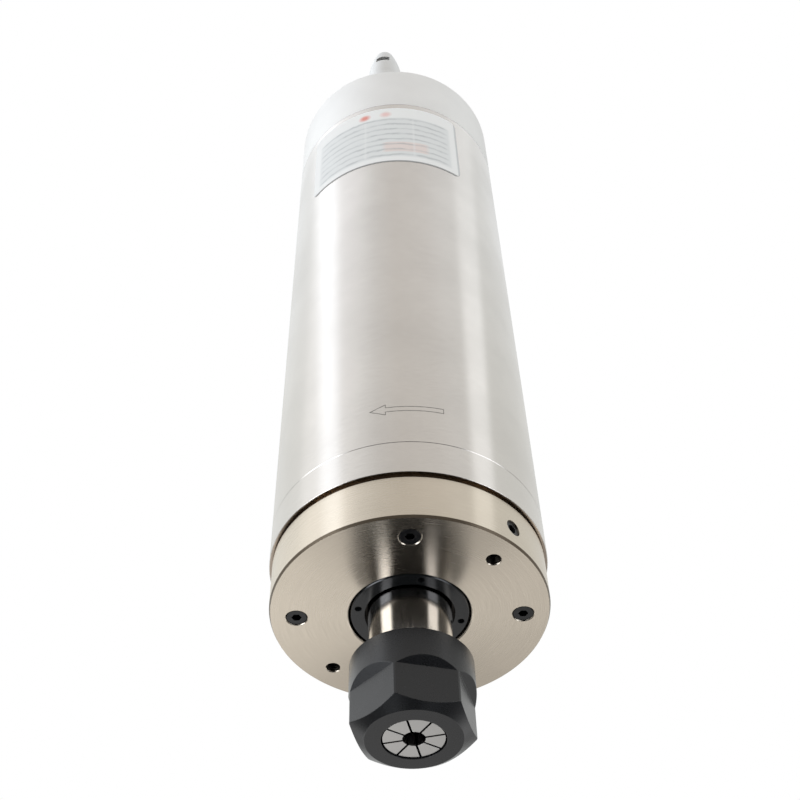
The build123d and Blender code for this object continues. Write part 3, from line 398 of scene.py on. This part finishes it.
def black_oxide(name, base, roughness, wear=0.0, corner=0.00025, metallic=0.0, painted_shade=()):
    """Blackened steel: dark, softly shining, with light specks and bare metal showing on its corners.

    The last argument is one zone of painted shade, darker and less shiny, as (inner radius, outer radius,
    low, high).
    """
    material, tree, shader = new_material(name)
    shader.inputs["Metallic"].default_value = metallic
    shader.inputs["Specular IOR Level"].default_value = 0.5
    spot = object_coordinates(tree)
    grain = noise(tree, spot, 3000.0, detail=4.0, roughness=0.65)
    cloud = noise(tree, spot, 130.0, detail=4.0)
    shade = mix(tree, grain, tint(base, 0.7), tint(base, 1.5))
    specks = ramp(tree, noise(tree, spot, 1500.0, detail=1.0), (0.74, 0.0), (0.80, 1.0))
    shade = mix(tree, product(tree, specks, 0.25), shade, tint(base, 7.0))
    if wear:
        worn = product(tree, edge_mask(tree, 0.00018, 0.02, 0.25),
                       ramp(tree, cloud, (0.35, 0.3), (0.6, 1.0)))
        shade = mix(tree, product(tree, worn, wear), shade, (0.34, 0.33, 0.32))
    # Painted shade on the listed zone: a darker colour and a weaker shine
    if painted_shade:
        shaded_recess = inside_zone(tree, *painted_shade)
        shade = mix(tree, shaded_recess, shade, tint(base, 0.3))
        tree.links.new(calc(tree, "SUBTRACT", 0.5, product(tree, shaded_recess, 0.45)),
                       shader.inputs["Specular IOR Level"])
    tree.links.new(shade, shader.inputs["Base Color"])
    rough = calc(tree, "ADD", product(tree, grain, 0.14), roughness - 0.07)
    tree.links.new(calc(tree, "ADD", rough, product(tree, cloud, 0.08)), shader.inputs["Roughness"])
    bump(tree, shader, grain, 0.000006, normal=round_edges(tree, corner))
    return material


def soft_rubber(name, base):
    """Matte rubber with a faint bloom."""
    material, tree, shader = new_material(name)
    bloom = noise(tree, object_coordinates(tree), 220.0, detail=4.0)
    tree.links.new(mix(tree, bloom, base, tint(base, 2.2)), shader.inputs["Base Color"])
    tree.links.new(calc(tree, "ADD", product(tree, bloom, 0.2), 0.5), shader.inputs["Roughness"])
    bump(tree, shader, bloom, 0.00002)
    return material


def moulded_plastic(name, base, roughness=0.45):
    """Moulded plastic with a fine grained skin."""
    material, tree, shader = new_material(name)
    grain = noise(tree, object_coordinates(tree), 1800.0, detail=3.0)
    tree.links.new(mix(tree, grain, tint(base, 0.85), tint(base, 1.2)), shader.inputs["Base Color"])
    tree.links.new(calc(tree, "ADD", product(tree, grain, 0.1), roughness),
                   shader.inputs["Roughness"])
    bump(tree, shader, grain, 0.00001, normal=round_edges(tree, 0.0002))
    return material


def layered_core(name, base):
    """Stacked electrical sheets: thin light and dark layers across the Z axis."""
    material, tree, shader = new_material(name)
    shader.inputs["Metallic"].default_value = 0.8
    layers = noise(tree, turning_coordinates(tree, 0.2, 2000.0), 1.0, detail=0.0)
    tree.links.new(mix(tree, layers, tint(base, 0.5), tint(base, 1.4)), shader.inputs["Base Color"])
    shader.inputs["Roughness"].default_value = 0.5
    bump(tree, shader, layers, 0.00003)
    return material


def wound_copper(name, base):
    """Varnished copper wire: bundled strands running round the Z axis."""
    material, tree, shader = new_material(name)
    shader.inputs["Metallic"].default_value = 0.9
    shader.inputs["Coat Weight"].default_value = 0.6
    strands = noise(tree, turning_coordinates(tree, 3.0, 1400.0), 1.0, detail=1.0)
    tree.links.new(mix(tree, strands, tint(base, 0.55), tint(base, 1.25)), shader.inputs["Base Color"])
    shader.inputs["Roughness"].default_value = 0.35
    bump(tree, shader, strands, 0.0002)
    return material


def paint(material, *names):
    """Gives CAD nodes a material in their own slots."""
    for name in names:
        for holder in NODES[name].material_slots:
            holder.material = material


# ------------------------------------------------------------------ surfaces

def surface(name, points, loop_u=False, loop_v=False, flip=False, uv=None):
    """A mesh from a grid of points, shaped (rows, columns, 3), joined into quads.

    Rows or columns that loop are closed by joining the last to the first.
    """
    rows, columns = points.shape[:2]
    u = np.arange(rows if loop_u else rows - 1)
    v = np.arange(columns if loop_v else columns - 1)
    u, v = (g.ravel() for g in np.meshgrid(u, v, indexing="ij"))
    u2, v2 = (u + 1) % rows, (v + 1) % columns
    quads = np.stack([u * columns + v, u2 * columns + v, u2 * columns + v2, u * columns + v2], axis=1)
    if flip:
        quads = quads[:, ::-1]
    mesh = bpy.data.meshes.new(name)
    mesh.vertices.add(rows * columns)
    mesh.vertices.foreach_set("co", points.reshape(-1).astype(np.float32))
    mesh.loops.add(quads.size)
    mesh.loops.foreach_set("vertex_index", quads.reshape(-1).astype(np.int32))
    mesh.polygons.add(len(quads))
    mesh.polygons.foreach_set("loop_start", np.arange(0, quads.size, 4, dtype=np.int32))
    mesh.update(calc_edges=True)
    mesh.validate()
    mesh.polygons.foreach_set("use_smooth", np.ones(len(mesh.polygons), dtype=bool))
    if uv is not None:
        layer = mesh.uv_layers.new(name="UVMap")
        indices = np.empty(len(mesh.loops), dtype=np.int32)
        mesh.loops.foreach_get("vertex_index", indices)
        layer.data.foreach_set("uv", uv.reshape(-1, 2)[indices].reshape(-1).astype(np.float32))
    piece = bpy.data.objects.new(name, mesh)
    bpy.context.scene.collection.objects.link(piece)
    return piece


def place_piece(piece, material, body):
    """Dresses a new piece and lets it ride on its body."""
    piece.data.materials.append(material)
    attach(piece, body)
    return piece


def on_cylinder(arc_angle, radius, height):
    """Points at an angle, a radius and a height about the Z axis."""
    x, y = radius * np.cos(arc_angle), radius * np.sin(arc_angle)
    return np.stack([x, y, height + 0 * arc_angle], axis=-1)


def thread_surface(name, root, crest, low, high, pitch, centre=(0.0, 0.0), turn=0.0, inside=False):
    """A screw thread as one height field over angle t and height z.

    The radius is root + (crest - root) * ridge, where ridge is a trapezoid wave of
    z / pitch - t / 360 degrees, so its crest climbs one pitch in each turn. The wave fades to nothing
    over the last pitch at both ends.
    """
    steps_round = 72
    steps_pitch = 12
    t = np.linspace(0, tau, steps_round, endpoint=False)
    z = np.linspace(low, high, max(8, int((high - low) / pitch * steps_pitch)))
    tt, zz = np.meshgrid(t, z, indexing="ij")
    phase = (zz / pitch - (tt + turn) / tau) % 1.0
    ridge = np.clip(1.6 - 4.2 * np.abs(phase - 0.5), 0, 1)
    fade = np.clip(np.minimum(zz - low, high - zz) / pitch, 0, 1)
    radius = root + (crest - root) * ridge * fade
    points = on_cylinder(tt, radius, zz) + np.array([*centre, 0.0])
    return surface(name, points, loop_u=True, flip=inside)


# ------------------------------------------------------------------ operators

class SPINDLE_OT_stage(bpy.types.Operator):
    """Build the floor, the surrounding light and the camera"""
    bl_idname = "spindle.stage"
    bl_label = "Stage"

    def execute(self, context):
        settings = context.scene.spindle_stage
        self.add_camera(context.scene, settings)
        self.add_floor(settings)
        self.add_world(context.scene, settings)
        self.add_lamp(settings)
        context.scene.view_settings.view_transform = "Standard"
        return {"FINISHED"}

    def add_camera(self, scene, settings):
        """A camera that looks up past the nose, turned about its own axis by the roll."""
        data = bpy.data.cameras.new("camera")
        data.lens = settings.lens
        data.sensor_width = 36.0
        data.clip_start = 0.01
        camera = bpy.data.objects.new("camera", data)
        scene.collection.objects.link(camera)
        roll = Matrix.Rotation(settings.camera_roll, 4, "Z")
        camera.matrix_world = self.aimed(settings.camera_place, settings.camera_target) @ roll
        scene.camera = camera

    def aimed(self, stand, target):
        """The matrix of a camera or lamp that stands at one point and looks at another."""
        stand = Vector(stand)
        turn = (Vector(target) - stand).to_track_quat("-Z", "Y").to_matrix().to_4x4()
        return Matrix.Translation(stand) @ turn

    def add_floor(self, settings):
        """A plain square floor that shows white to the camera and keeps its shadows."""
        half = settings.floor_size / 2
        side = np.linspace(-half, half, 13)
        x, y = np.meshgrid(side, side, indexing="ij")
        floor = surface("floor", np.stack([x, y, np.full_like(x, settings.floor_height)], axis=-1))
        material, tree, shader = new_material("pale_floor")
        shader.inputs["Roughness"].default_value = 0.9
        grain = noise(tree, object_coordinates(tree), 60.0, detail=2.0)
        tree.links.new(mix(tree, grain, tint(settings.floor_colour, 0.99), settings.floor_colour),
                       shader.inputs["Base Color"])
        floor.data.materials.append(material)
        floor.visible_glossy = False

    def add_world(self, scene, settings):
        """Soft light from all sides, plain white to the camera: sky and panels above, ground below."""
        world = bpy.data.worlds.new("studio")
        scene.world = world
        world.use_nodes = True
        tree = world.node_tree
        back = tree.nodes["Background"]
        direction = tree.nodes.new("ShaderNodeTexCoord").outputs["Generated"]
        x, y, z = axes(tree, direction)
        around = calc(tree, "ARCTAN2", x, product(tree, y, -1.0))
        around = calc(tree, "ADD", calc(tree, "DIVIDE", around, tau), 0.5)
        level = calc(tree, "ADD", product(tree, z, 0.5), 0.5)
        above = ramp(tree, level, (0.47, 0.0), (0.53, 1.0))
        light = mix(tree, above, self.ground(tree, around, y, z), self.sky(tree, around, z))
        for panel, strength in self.panels(tree, direction, x, z, settings):
            glow = mix(tree, product(tree, panel, above), (0.0, 0.0, 0.0), strength)
            light = mix(tree, 1.0, light, glow, "ADD")
        rays = tree.nodes.new("ShaderNodeLightPath")
        tree.links.new(mix(tree, rays.outputs["Is Camera Ray"], light, 1.0), back.inputs["Color"])
        back.inputs["Strength"].default_value = settings.studio_level

    def sky(self, tree, around, z):
        """A ramp over the direction's angle about Z, times a ramp over its height.

        The angle is counted in turns from the back, by way of the left, the front (0.5) and the right.
        """
        circle = ramp(
            tree, around,
            (0.0, (0.88, 0.89, 0.88)), (0.13, (0.95, 0.97, 0.96)), (0.20, (0.96, 0.98, 0.97)),
            (0.25, (1.08, 1.10, 1.11)), (0.33, (1.08, 1.09, 1.10)), (0.372, (1.03, 1.03, 1.03)),
            (0.403, (0.92, 0.92, 0.91)), (0.433, (0.81, 0.80, 0.78)), (0.49, (0.755, 0.73, 0.695)),
            (0.578, (0.78, 0.76, 0.73)), (0.625, (0.83, 0.82, 0.80)), (0.75, (0.84, 0.85, 0.83)),
            (0.80, (0.84, 0.85, 0.83)), (1.0, (0.90, 0.91, 0.90)))
        height = ramp(
            tree, z,
            (0.0, 0.92), (0.70, 0.975), (0.75, 1.0), (0.85, (1.12, 1.135, 1.175)),
            (1.0, (1.14, 1.155, 1.195)))
        return mix(tree, 1.0, circle, height, "MULTIPLY")

    def panels(self, tree, direction, x, z, settings):
        """Three panels above the horizon, each with its light.

        Two are slanted bands along great circles, on the left and on the right. The third lies low on
        the left.
        """
        leftward = product(tree, x, -1.0)
        left = product(
            tree,
            self.band(tree, direction, (-0.631, 0.623, -0.463),
                      (-0.235, 0.0), (-0.15, 1.0), (-0.05, 1.0), (0.04, 0.0)),
            ramp(tree, leftward, (0.0, 0.0), (0.2, 1.0)),
            ramp(tree, z, (0.79, 1.0), (0.85, 0.7)))
        right = product(
            tree,
            self.band(tree, direction, (-0.625, -0.715, 0.313),
                      (-0.14, 0.0), (-0.09, 1.0), (0.07, 1.0), (0.13, 0.0)),
            ramp(tree, x, (0.0, 0.0), (0.2, 1.0)),
            ramp(tree, z, (0.68, 0.45), (0.74, 1.0), (0.81, 0.7), (0.86, 0.15)))
        low = product(
            tree,
            ramp(tree, leftward, (0.5, 0.0), (0.65, 1.0)),
            ramp(tree, z, (0.42, 0.0), (0.50, 1.0), (0.58, 1.0), (0.64, 0.0)))
        return (left, settings.left_panel), (right, settings.right_panel), (low, settings.low_panel)

    def ground(self, tree, around, y, z):
        """Even and pale just below the horizon, and further down a ramp over the angle about Z.

        That ramp has two bright panels beside a dark screen before the nose. Straight below it is dark
        too, and so is the steep part of the front.
        """
        circle = ramp(
            tree, around,
            (0.0, (0.75, 0.74, 0.73)), (0.03, (0.78, 0.77, 0.76)), (0.055, 1.6), (0.11, 1.8),
            (0.14, 0.15), (0.262, 0.12), (0.28, (5.0, 5.2, 5.5)), (0.350, (5.0, 5.2, 5.5)),
            (0.366, 0.015), (0.63, 0.015), (0.65, (2.9, 3.0, 3.2)), (0.71, (2.9, 3.0, 3.2)),
            (0.73, 0.1), (0.82, 0.15), (0.86, 1.6), (0.92, 1.6), (0.95, 0.55),
            (0.975, (0.53, 0.52, 0.51)), (1.0, (0.72, 0.71, 0.70)))
        down = product(tree, z, -1.0)
        deep = ramp(tree, down, (0.65, 0.0), (0.75, 0.92))
        front = ramp(tree, product(tree, y, -1.0), (0.0, 0.0), (0.15, 1.0))
        nadir = ramp(tree, down, (0.78, 0.0), (0.88, 0.8))
        screen = calc(tree, "MAXIMUM", product(tree, deep, front), nadir)
        steep = ramp(tree, down, (0.18, 0.0), (0.33, 1.0))
        return mix(tree, steep, (0.55, 0.545, 0.535), mix(tree, screen, circle, (0.0, 0.0, 0.0)))

    def band(self, tree, direction, normal, *stops):
        """A ramp over how far a direction leaves the plane through the origin that a normal is square to.

        Stops are (distance, value) with distances from -1 to 1.
        """
        off = add(tree, "ShaderNodeVectorMath", operation="DOT_PRODUCT")
        tree.links.new(direction, off.inputs[0])
        off.inputs[1].default_value = normal
        share_off = calc(tree, "ADD", product(tree, off.outputs["Value"], 0.5), 0.5)
        return ramp(tree, share_off, *((distance / 2 + 0.5, value) for distance, value in stops))

    def add_lamp(self, settings):
        """One large soft lamp, high on the left, in line with the slanted panel."""
        data = bpy.data.lights.new("key", "AREA")
        data.shape = "RECTANGLE"
        data.size, data.size_y = settings.key_width, settings.key_height
        data.energy = settings.key_power
        lamp = bpy.data.objects.new("key", data)
        bpy.context.scene.collection.objects.link(lamp)
        lamp.matrix_world = self.aimed(settings.key_place, (0.0, 0.0, 0.0))
        lamp.visible_camera = False


class SPINDLE_OT_body_finish(bpy.types.Operator):
    """Finish the front flange, the body tube with its ring, and the rear cap"""
    bl_idname = "spindle.body_finish"
    bl_label = "Body finishes"

    def execute(self, context):
        s = context.scene.spindle_finish
        # Painted shade in the open groove, and painted shade along the chamfer of the face
        groove_shade = (0.62, *OPEN_GROOVE)
        chamfer_shade = (0.22, *FACE_CHAMFER)
        paint(turned_metal("satin_nickel", s.nickel_colour, 0.26, along=3.0, across=5200.0,
                           depth=s.brush_depth * 0.25, anisotropy=0.9, corner=0.0001,
                           painted_shade=(groove_shade, chamfer_shade)), "front_flange")
        paint(turned_metal("ground_stainless", s.body_colour, 0.22, depth=s.brush_depth * 0.4,
                           anisotropy=0.5, corner=0.0001, painted_shade=(groove_shade,)),
              "jacket_tube", "front_housing")
        paint(blasted_metal("blasted_aluminium", s.cap_colour, 0.68), "rear_cap")
        return {"FINISHED"}


class SPINDLE_OT_nose_finish(bpy.types.Operator):
    """Finish the shaft, the lock ring, the collet and its nut"""
    bl_idname = "spindle.nose_finish"
    bl_label = "Nose finishes"

    def execute(self, context):
        s = context.scene.spindle_finish
        # Painted shade on the neck where it sits in the lock ring's gap
        paint(turned_metal("ground_shaft", s.shaft_colour, 0.12, along=5.0, across=4200.0,
                           depth=0.0000012, streak=0.03, smudge=0.03, anisotropy=1.0, corner=0.0001,
                           painted_shade=((0.03, *NECK_GAP),)), "spindle_shaft")
        paint(black_oxide("ring_black", (0.008, 0.009, 0.010), 0.14, corner=0.00015), "lock_ring")
        paint(turned_metal("ground_collet", s.collet_colour, 0.33, across=7000.0, corner=0.0001),
              "collet")
        paint(black_oxide("nut_black", s.oxide_colour, 0.25, wear=s.wear), "collet_nut")
        return {"FINISHED"}


class SPINDLE_OT_fastener_finish(bpy.types.Operator):
    """Finish the screws, the purge plug and the rear lock nut"""
    bl_idname = "spindle.fastener_finish"
    bl_label = "Fasteners"

    def execute(self, context):
        s = context.scene.spindle_finish
        # Painted shade on the flange screws in their sockets and along their sides, behind the heads'
        # faces
        behind_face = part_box("flange_screws")[0][2] + SCREW_SHADE_DEPTH
        paint(black_oxide("flange_screw_black", s.screw_colour, 0.3, wear=s.wear * 0.6, corner=0.0001,
                          painted_shade=(0.0, 0.05, behind_face, 0.05)), "flange_screws")
        paint(black_oxide("screw_black", s.screw_colour, 0.34, wear=s.wear * 0.6, corner=0.0002),
              "cap_screws", "purge_plug")
        paint(black_oxide("lock_nut_black", s.screw_colour, 0.4), "rear_lock_nut")
        return {"FINISHED"}


class SPINDLE_OT_fitting_finish(bpy.types.Operator):
    """Finish the water fittings and the power socket"""
    bl_idname = "spindle.fitting_finish"
    bl_label = "Fittings and socket"

    def execute(self, context):
        s = context.scene.spindle_finish
        paint(blasted_metal("plated_fitting", s.fitting_colour, 0.5), "fitting_nuts", "fitting_bodies")
        paint(turned_metal("socket_shell_metal", (0.70, 0.70, 0.69), 0.22, corner=0.0002),
              "socket_shell", "socket_nut")
        paint(soft_rubber("washer_rubber", (0.012, 0.012, 0.012)), "fitting_washers", "socket_gasket")
        paint(moulded_plastic("socket_plastic", (0.010, 0.010, 0.011)), "socket_insert")
        paint(turned_metal("gold_plate", (0.90, 0.66, 0.28), 0.2, corner=0.0001), "socket_pins")
        return {"FINISHED"}


class SPINDLE_OT_inner_finish(bpy.types.Operator):
    """Finish the bearings, the motor and the seals inside the body"""
    bl_idname = "spindle.inner_finish"
    bl_label = "Inner pieces"

    def execute(self, context):
        paint(turned_metal("bearing_steel_ground", (0.62, 0.62, 0.61), 0.12, corner=0.0001),
              "front_outer_races", "front_inner_races", "rear_outer_races", "rear_inner_races",
              "outer_spacer", "inner_spacers", "rear_spacer")
        paint(turned_metal("ball_steel_polished", (0.70, 0.70, 0.70), 0.05, depth=0.0000005, streak=0.01),
              "front_balls", "rear_balls")
        paint(moulded_plastic("phenolic_cage", (0.32, 0.15, 0.05), 0.5), "front_cages", "rear_cages")
        paint(blasted_metal("machined_aluminium", (0.76, 0.76, 0.75), 0.4),
              "cooling_sleeve", "rear_housing")
        paint(layered_core("core_sheets", (0.30, 0.29, 0.28)), "stator_core", "rotor_core")
        paint(wound_copper("varnished_copper", (0.80, 0.38, 0.20)), "winding")
        paint(blasted_metal("cast_cage", (0.70, 0.70, 0.70), 0.45), "rotor_cage")
        paint(black_oxide("spring_blue_black", (0.05, 0.05, 0.06), 0.3, metallic=0.6),
              "preload_springs", "bearing_circlip")
        paint(soft_rubber("seal_rubber", (0.010, 0.010, 0.010)),
              "flange_seal", "front_seals", "rear_seal", "water_seals")
        paint(moulded_plastic("lead_sheath_red", (0.35, 0.03, 0.02), 0.5), "motor_leads")
        return {"FINISHED"}


class SPINDLE_OT_threads(bpy.types.Operator):
    """Cut the threads of the nose, the nut and the jack holes"""
    bl_idname = "spindle.threads"
    bl_label = "Threads"

    def execute(self, context):
        s = context.scene.spindle_thread
        finish = context.scene.spindle_finish
        steel = turned_metal("thread_steel", finish.shaft_colour, 0.25, depth=0.000002)
        # Painted shade: the jack threads take the nickel at 6 %, as shade inside the holes
        nickel = turned_metal("jack_thread_shade", tint(finish.nickel_colour, 0.06), 0.5)
        black = black_oxide("thread_black", finish.oxide_colour, 0.4)
        nose = thread_surface("nose_thread", s.nose_root - s.root_sink, s.nose_radius, s.nose_low,
                              s.nose_high, s.nose_pitch)
        place_piece(nose, steel, "spindle")
        nut = thread_surface("nut_thread", s.nut_radius + s.root_sink, s.nut_crest, s.nut_low,
                             s.nut_high, s.nose_pitch, turn=pi, inside=True)
        place_piece(nut, black, "nut_body")
        for number in range(2):
            direction = s.jack_angle + pi * number
            centre = (s.jack_circle * cos(direction), s.jack_circle * sin(direction))
            jack = thread_surface(f"jack_thread_{number + 1}", s.jack_radius + s.root_sink / 2,
                                  s.jack_crest, s.jack_mouth, s.jack_depth, s.jack_pitch, centre,
                                  inside=True)
            place_piece(jack, nickel, "housing")
        return {"FINISHED"}


class SPINDLE_OT_fitting_skirts(bpy.types.Operator):
    """Put a thin flared skirt under each water fitting"""
    bl_idname = "spindle.fitting_skirts"
    bl_label = "Fitting skirts"

    def execute(self, context):
        s = context.scene.spindle_skirt
        plated = blasted_metal("skirt_plated", context.scene.spindle_finish.fitting_colour, 0.5)
        for number, direction in enumerate((s.skirt_front, s.skirt_rear), 1):
            skirt = self.skirt(f"fitting_skirt_{number}", s, direction)
            place_piece(skirt, plated, "housing")
        return {"FINISHED"}

    def skirt(self, name, s, direction):
        """A closed thin wall turned about the fitting's axis.

        At a share h of its height, counted from the top, the outer radius is the radius plus the flare
        times h squared, and the inner radius is smaller by the wall.
        """
        h = np.linspace(0, 1, 13)
        outer = s.skirt_radius + s.skirt_flare * h ** 2
        radius = np.concatenate([outer, outer[::-1] - s.skirt_wall])
        height = s.skirt_high + (s.skirt_low - s.skirt_high) * np.concatenate([h, h[::-1]])
        turn, radius = np.meshgrid(np.linspace(0, tau, 72, endpoint=False), radius, indexing="ij")
        centre = np.array([s.skirt_circle * cos(direction), s.skirt_circle * sin(direction), 0.0])
        points = on_cylinder(turn, radius, height[None, :]) + centre
        return surface(name, points, loop_u=True, loop_v=True, flip=True)


class SPINDLE_OT_rating_plate(bpy.types.Operator):
    """Lay the blank rating plate on the tube"""
    bl_idname = "spindle.rating_plate"
    bl_label = "Rating plate"

    def execute(self, context):
        s = context.scene.spindle_plate
        place_piece(self.sheet(s), self.print_finish(s), "housing")
        return {"FINISHED"}

    def sheet(self, s):
        """A thin rounded sheet bent round the tube.

        Rings of one rounded rectangle, scaled from nothing at the middle to full size, are laid on a
        cylinder; the last rings step down to the tube and close the edge.
        """
        tube_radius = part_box("jacket_tube")[1][0]
        across = tube_radius * (s.plate_right - s.plate_left) / 2
        up = (s.plate_top - s.plate_bottom) / 2
        corner = s.plate_corner
        quarter = np.linspace(0, pi / 2, 9)
        arcs = []
        for k, (sx, sy) in enumerate(((1, 1), (-1, 1), (-1, -1), (1, -1))):
            a = quarter + k * pi / 2
            arcs.append(np.stack([sx * (across - corner) + corner * np.cos(a),
                                  sy * (up - corner) + corner * np.sin(a)], axis=-1))
        ring = np.concatenate([self.fill(a, b) for a, b in zip(arcs, arcs[1:] + arcs[:1])])
        sizes = np.array([0.0, *np.linspace(0.04, 0.96, 24), 0.985, 1.0, 1.0])
        lifts = np.array([*np.ones(26), 0.75, -0.1])
        flat = sizes[:, None, None] * ring[None]
        bend = (s.plate_left + s.plate_right) / 2 + flat[..., 0] / tube_radius
        radius = tube_radius + s.plate_thickness * lifts[:, None] + 0 * bend
        points = on_cylinder(bend, radius, (s.plate_top + s.plate_bottom) / 2 + flat[..., 1])
        uv = np.stack([flat[..., 0] / across, flat[..., 1] / up], axis=-1) / 2 + 0.5
        return surface("rating_plate", points, loop_v=True, uv=uv)

    def fill(self, arc, following):
        """One corner arc and the straight run to the next, as evenly spaced points."""
        run = np.linspace(arc[-1], following[0], 25)[1:-1]
        return np.concatenate([arc, run])

    def print_finish(self, s):
        """White lacquer round a bluish field with blurred blank rows, a pale warm band and two red dots,
        with painted shade along the lower and right edges.

        All of it is placed by the UV map, from 0 to 1 along the plate and up it.
        """
        material, tree, shader = new_material("plate_print")
        shader.inputs["Roughness"].default_value = 0.42
        u, v, _ = axes(tree, tree.nodes.new("ShaderNodeTexCoord").outputs["UV"])
        field = product(tree, window(tree, u, 0.05, 0.95, 0.02), window(tree, v, 0.07, 0.82, 0.03))
        shade = mix(tree, field, s.plate_white, s.plate_ground)
        band = product(tree, window(tree, u, 0.50, 0.80, 0.03), window(tree, v, 0.16, 0.36, 0.03))
        shade = mix(tree, product(tree, band, 0.5), shade, s.plate_tint)
        shade = self.rows(tree, u, v, shade, s)
        # Painted shade: a dark strip along the plate's lower edge and a grey strip along its right edge
        painted_foot_shade = calc(tree, "LESS_THAN", v, 0.012)
        shade = mix(tree, product(tree, painted_foot_shade, 0.6), shade, s.plate_edge_shade)
        right = calc(tree, "GREATER_THAN", u, 0.985)
        shade = mix(tree, product(tree, right, 0.5), shade, s.plate_grey)
        shade = self.dots(tree, u, v, shade, s)
        tree.links.new(shade, shader.inputs["Base Color"])
        bump(tree, shader, noise(tree, object_coordinates(tree), 300.0), 0.00001)
        return material

    def rows(self, tree, u, v, shade, s):
        """Eight patchy rows with wavy edges, parted by two upright white gaps."""
        waves = calc(tree, "SUBTRACT", noise(tree, object_coordinates(tree), 260.0), 0.5)
        wavy_v = calc(tree, "ADD", v, product(tree, waves, 0.05))
        patches = ramp(tree, noise(tree, object_coordinates(tree), 170.0), (0.38, 0.45), (0.60, 1.0))
        first, spread, count, half = 0.12, 0.66, 8, 0.022
        for row in range(count):
            middle = first + spread * row / (count - 1)
            line = window(tree, wavy_v, middle - half, middle + half, 0.02)
            line = product(tree, window(tree, u, 0.06, 0.93, 0.03), line, patches)
            shade = mix(tree, product(tree, line, 0.52), shade, s.plate_grey)
        half = 0.012
        for middle in (0.40, 0.70):
            gap = window(tree, u, middle - half, middle + half, half)
            gap = product(tree, window(tree, v, 0.10, 0.78), gap)
            shade = mix(tree, product(tree, gap, 0.4), shade, s.plate_white)
        return shade

    def dots(self, tree, u, v, shade, s):
        """Two soft round red dots above the rows, the left one stronger."""
        width = (s.plate_right - s.plate_left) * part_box("jacket_tube")[1][0]
        aspect = width / (s.plate_top - s.plate_bottom)
        for middle, strength in ((0.395, 0.85), (0.53, 0.4)):
            across = product(tree, calc(tree, "SUBTRACT", u, middle), aspect)
            away = hypotenuse(tree, across, calc(tree, "SUBTRACT", v, 0.88))
            dot = ramp(tree, away, (0.020, 1.0), (0.065, 0.0))
            shade = mix(tree, product(tree, dot, strength), shade, s.plate_red)
        return shade


class SPINDLE_OT_turning_arrow(bpy.types.Operator):
    """Mark the outline arrow on the tube"""
    bl_idname = "spindle.turning_arrow"
    bl_label = "Turning arrow"

    def execute(self, context):
        s = context.scene.spindle_arrow
        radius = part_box("jacket_tube")[1][0]
        corners = np.array([
            (s.arrow_tip, 0.0), (s.arrow_neck, s.arrow_head), (s.arrow_neck, s.arrow_body),
            (s.arrow_tail, s.arrow_body), (s.arrow_tail, -s.arrow_body), (s.arrow_neck, -s.arrow_body),
            (s.arrow_neck, -s.arrow_head),
        ])
        outline = self.outline(corners, s.arrow_line)
        bend = s.arrow_middle + outline[..., 0] / radius
        points = on_cylinder(bend, radius + 0.00001, s.arrow_height + outline[..., 1])
        material, tree, shader = new_material("marked_line")
        shader.inputs["Metallic"].default_value = 0.5
        shader.inputs["Roughness"].default_value = 0.55
        grain = noise(tree, object_coordinates(tree), 4000.0)
        tree.links.new(mix(tree, grain, (0.16, 0.15, 0.14), (0.30, 0.29, 0.27)),
                       shader.inputs["Base Color"])
        place_piece(surface("turning_arrow", points, loop_u=True), material, "housing")
        return {"FINISHED"}

    def outline(self, corners, width):
        """A closed line of a width along corners: each corner moves out and in along the mitre of its two
        edge normals, and each edge is divided evenly."""
        after = np.roll(corners, -1, axis=0) - corners
        normal = np.stack([after[:, 1], -after[:, 0]], axis=-1)
        normal /= np.linalg.norm(normal, axis=1, keepdims=True)
        before = np.roll(normal, 1, axis=0)
        mitre = (normal + before) / (1 + (normal * before).sum(axis=1, keepdims=True))
        sides = np.stack([corners + mitre * width / 2, corners - mitre * width / 2], axis=1)
        steps = np.linspace(0, 1, 24, endpoint=False)[None, :, None, None]
        line = sides[:, None] * (1 - steps) + np.roll(sides, -1, axis=0)[:, None] * steps
        return line.reshape(-1, 2, 2)


class SPINDLE_PT_panel(bpy.types.Panel):
    """Lists the steps in the order in which they run"""
    bl_idname = "SPINDLE_PT_panel"
    bl_label = "Motor Spindle"
    bl_space_type = "VIEW_3D"
    bl_region_type = "UI"
    bl_category = "Spindle"

    def draw(self, context):
        for step in OPERATORS:
            self.layout.operator(step.bl_idname)


SETTINGS = {
    "spindle_stage": StageSettings,
    "spindle_finish": FinishSettings,
    "spindle_plate": PlateSettings,
    "spindle_arrow": ArrowSettings,
    "spindle_thread": ThreadSettings,
    "spindle_skirt": SkirtSettings,
}
OPERATORS = (
    SPINDLE_OT_stage, SPINDLE_OT_body_finish, SPINDLE_OT_nose_finish, SPINDLE_OT_fastener_finish,
    SPINDLE_OT_fitting_finish, SPINDLE_OT_inner_finish, SPINDLE_OT_threads, SPINDLE_OT_fitting_skirts,
    SPINDLE_OT_rating_plate, SPINDLE_OT_turning_arrow,
)


def register():
    """Registers the settings, the operators and the panel."""
    for name, group in SETTINGS.items():
        bpy.utils.register_class(group)
        setattr(bpy.types.Scene, name, PointerProperty(type=group))
    for kind in (*OPERATORS, SPINDLE_PT_panel):
        bpy.utils.register_class(kind)


def unregister():
    """Removes what register added."""
    for kind in (SPINDLE_PT_panel, *reversed(OPERATORS)):
        bpy.utils.unregister_class(kind)
    for name, group in SETTINGS.items():
        delattr(bpy.types.Scene, name)
        bpy.utils.unregister_class(group)


def main():
    """Runs every step in order."""
    register()
    for step in OPERATORS:
        area, verb = step.bl_idname.split(".")
        if getattr(getattr(bpy.ops, area), verb)() != {"FINISHED"}:
            raise RuntimeError(f"{step.bl_label} did not finish")
    bpy.context.view_layer.update()


if __name__ == "__main__":
    main()
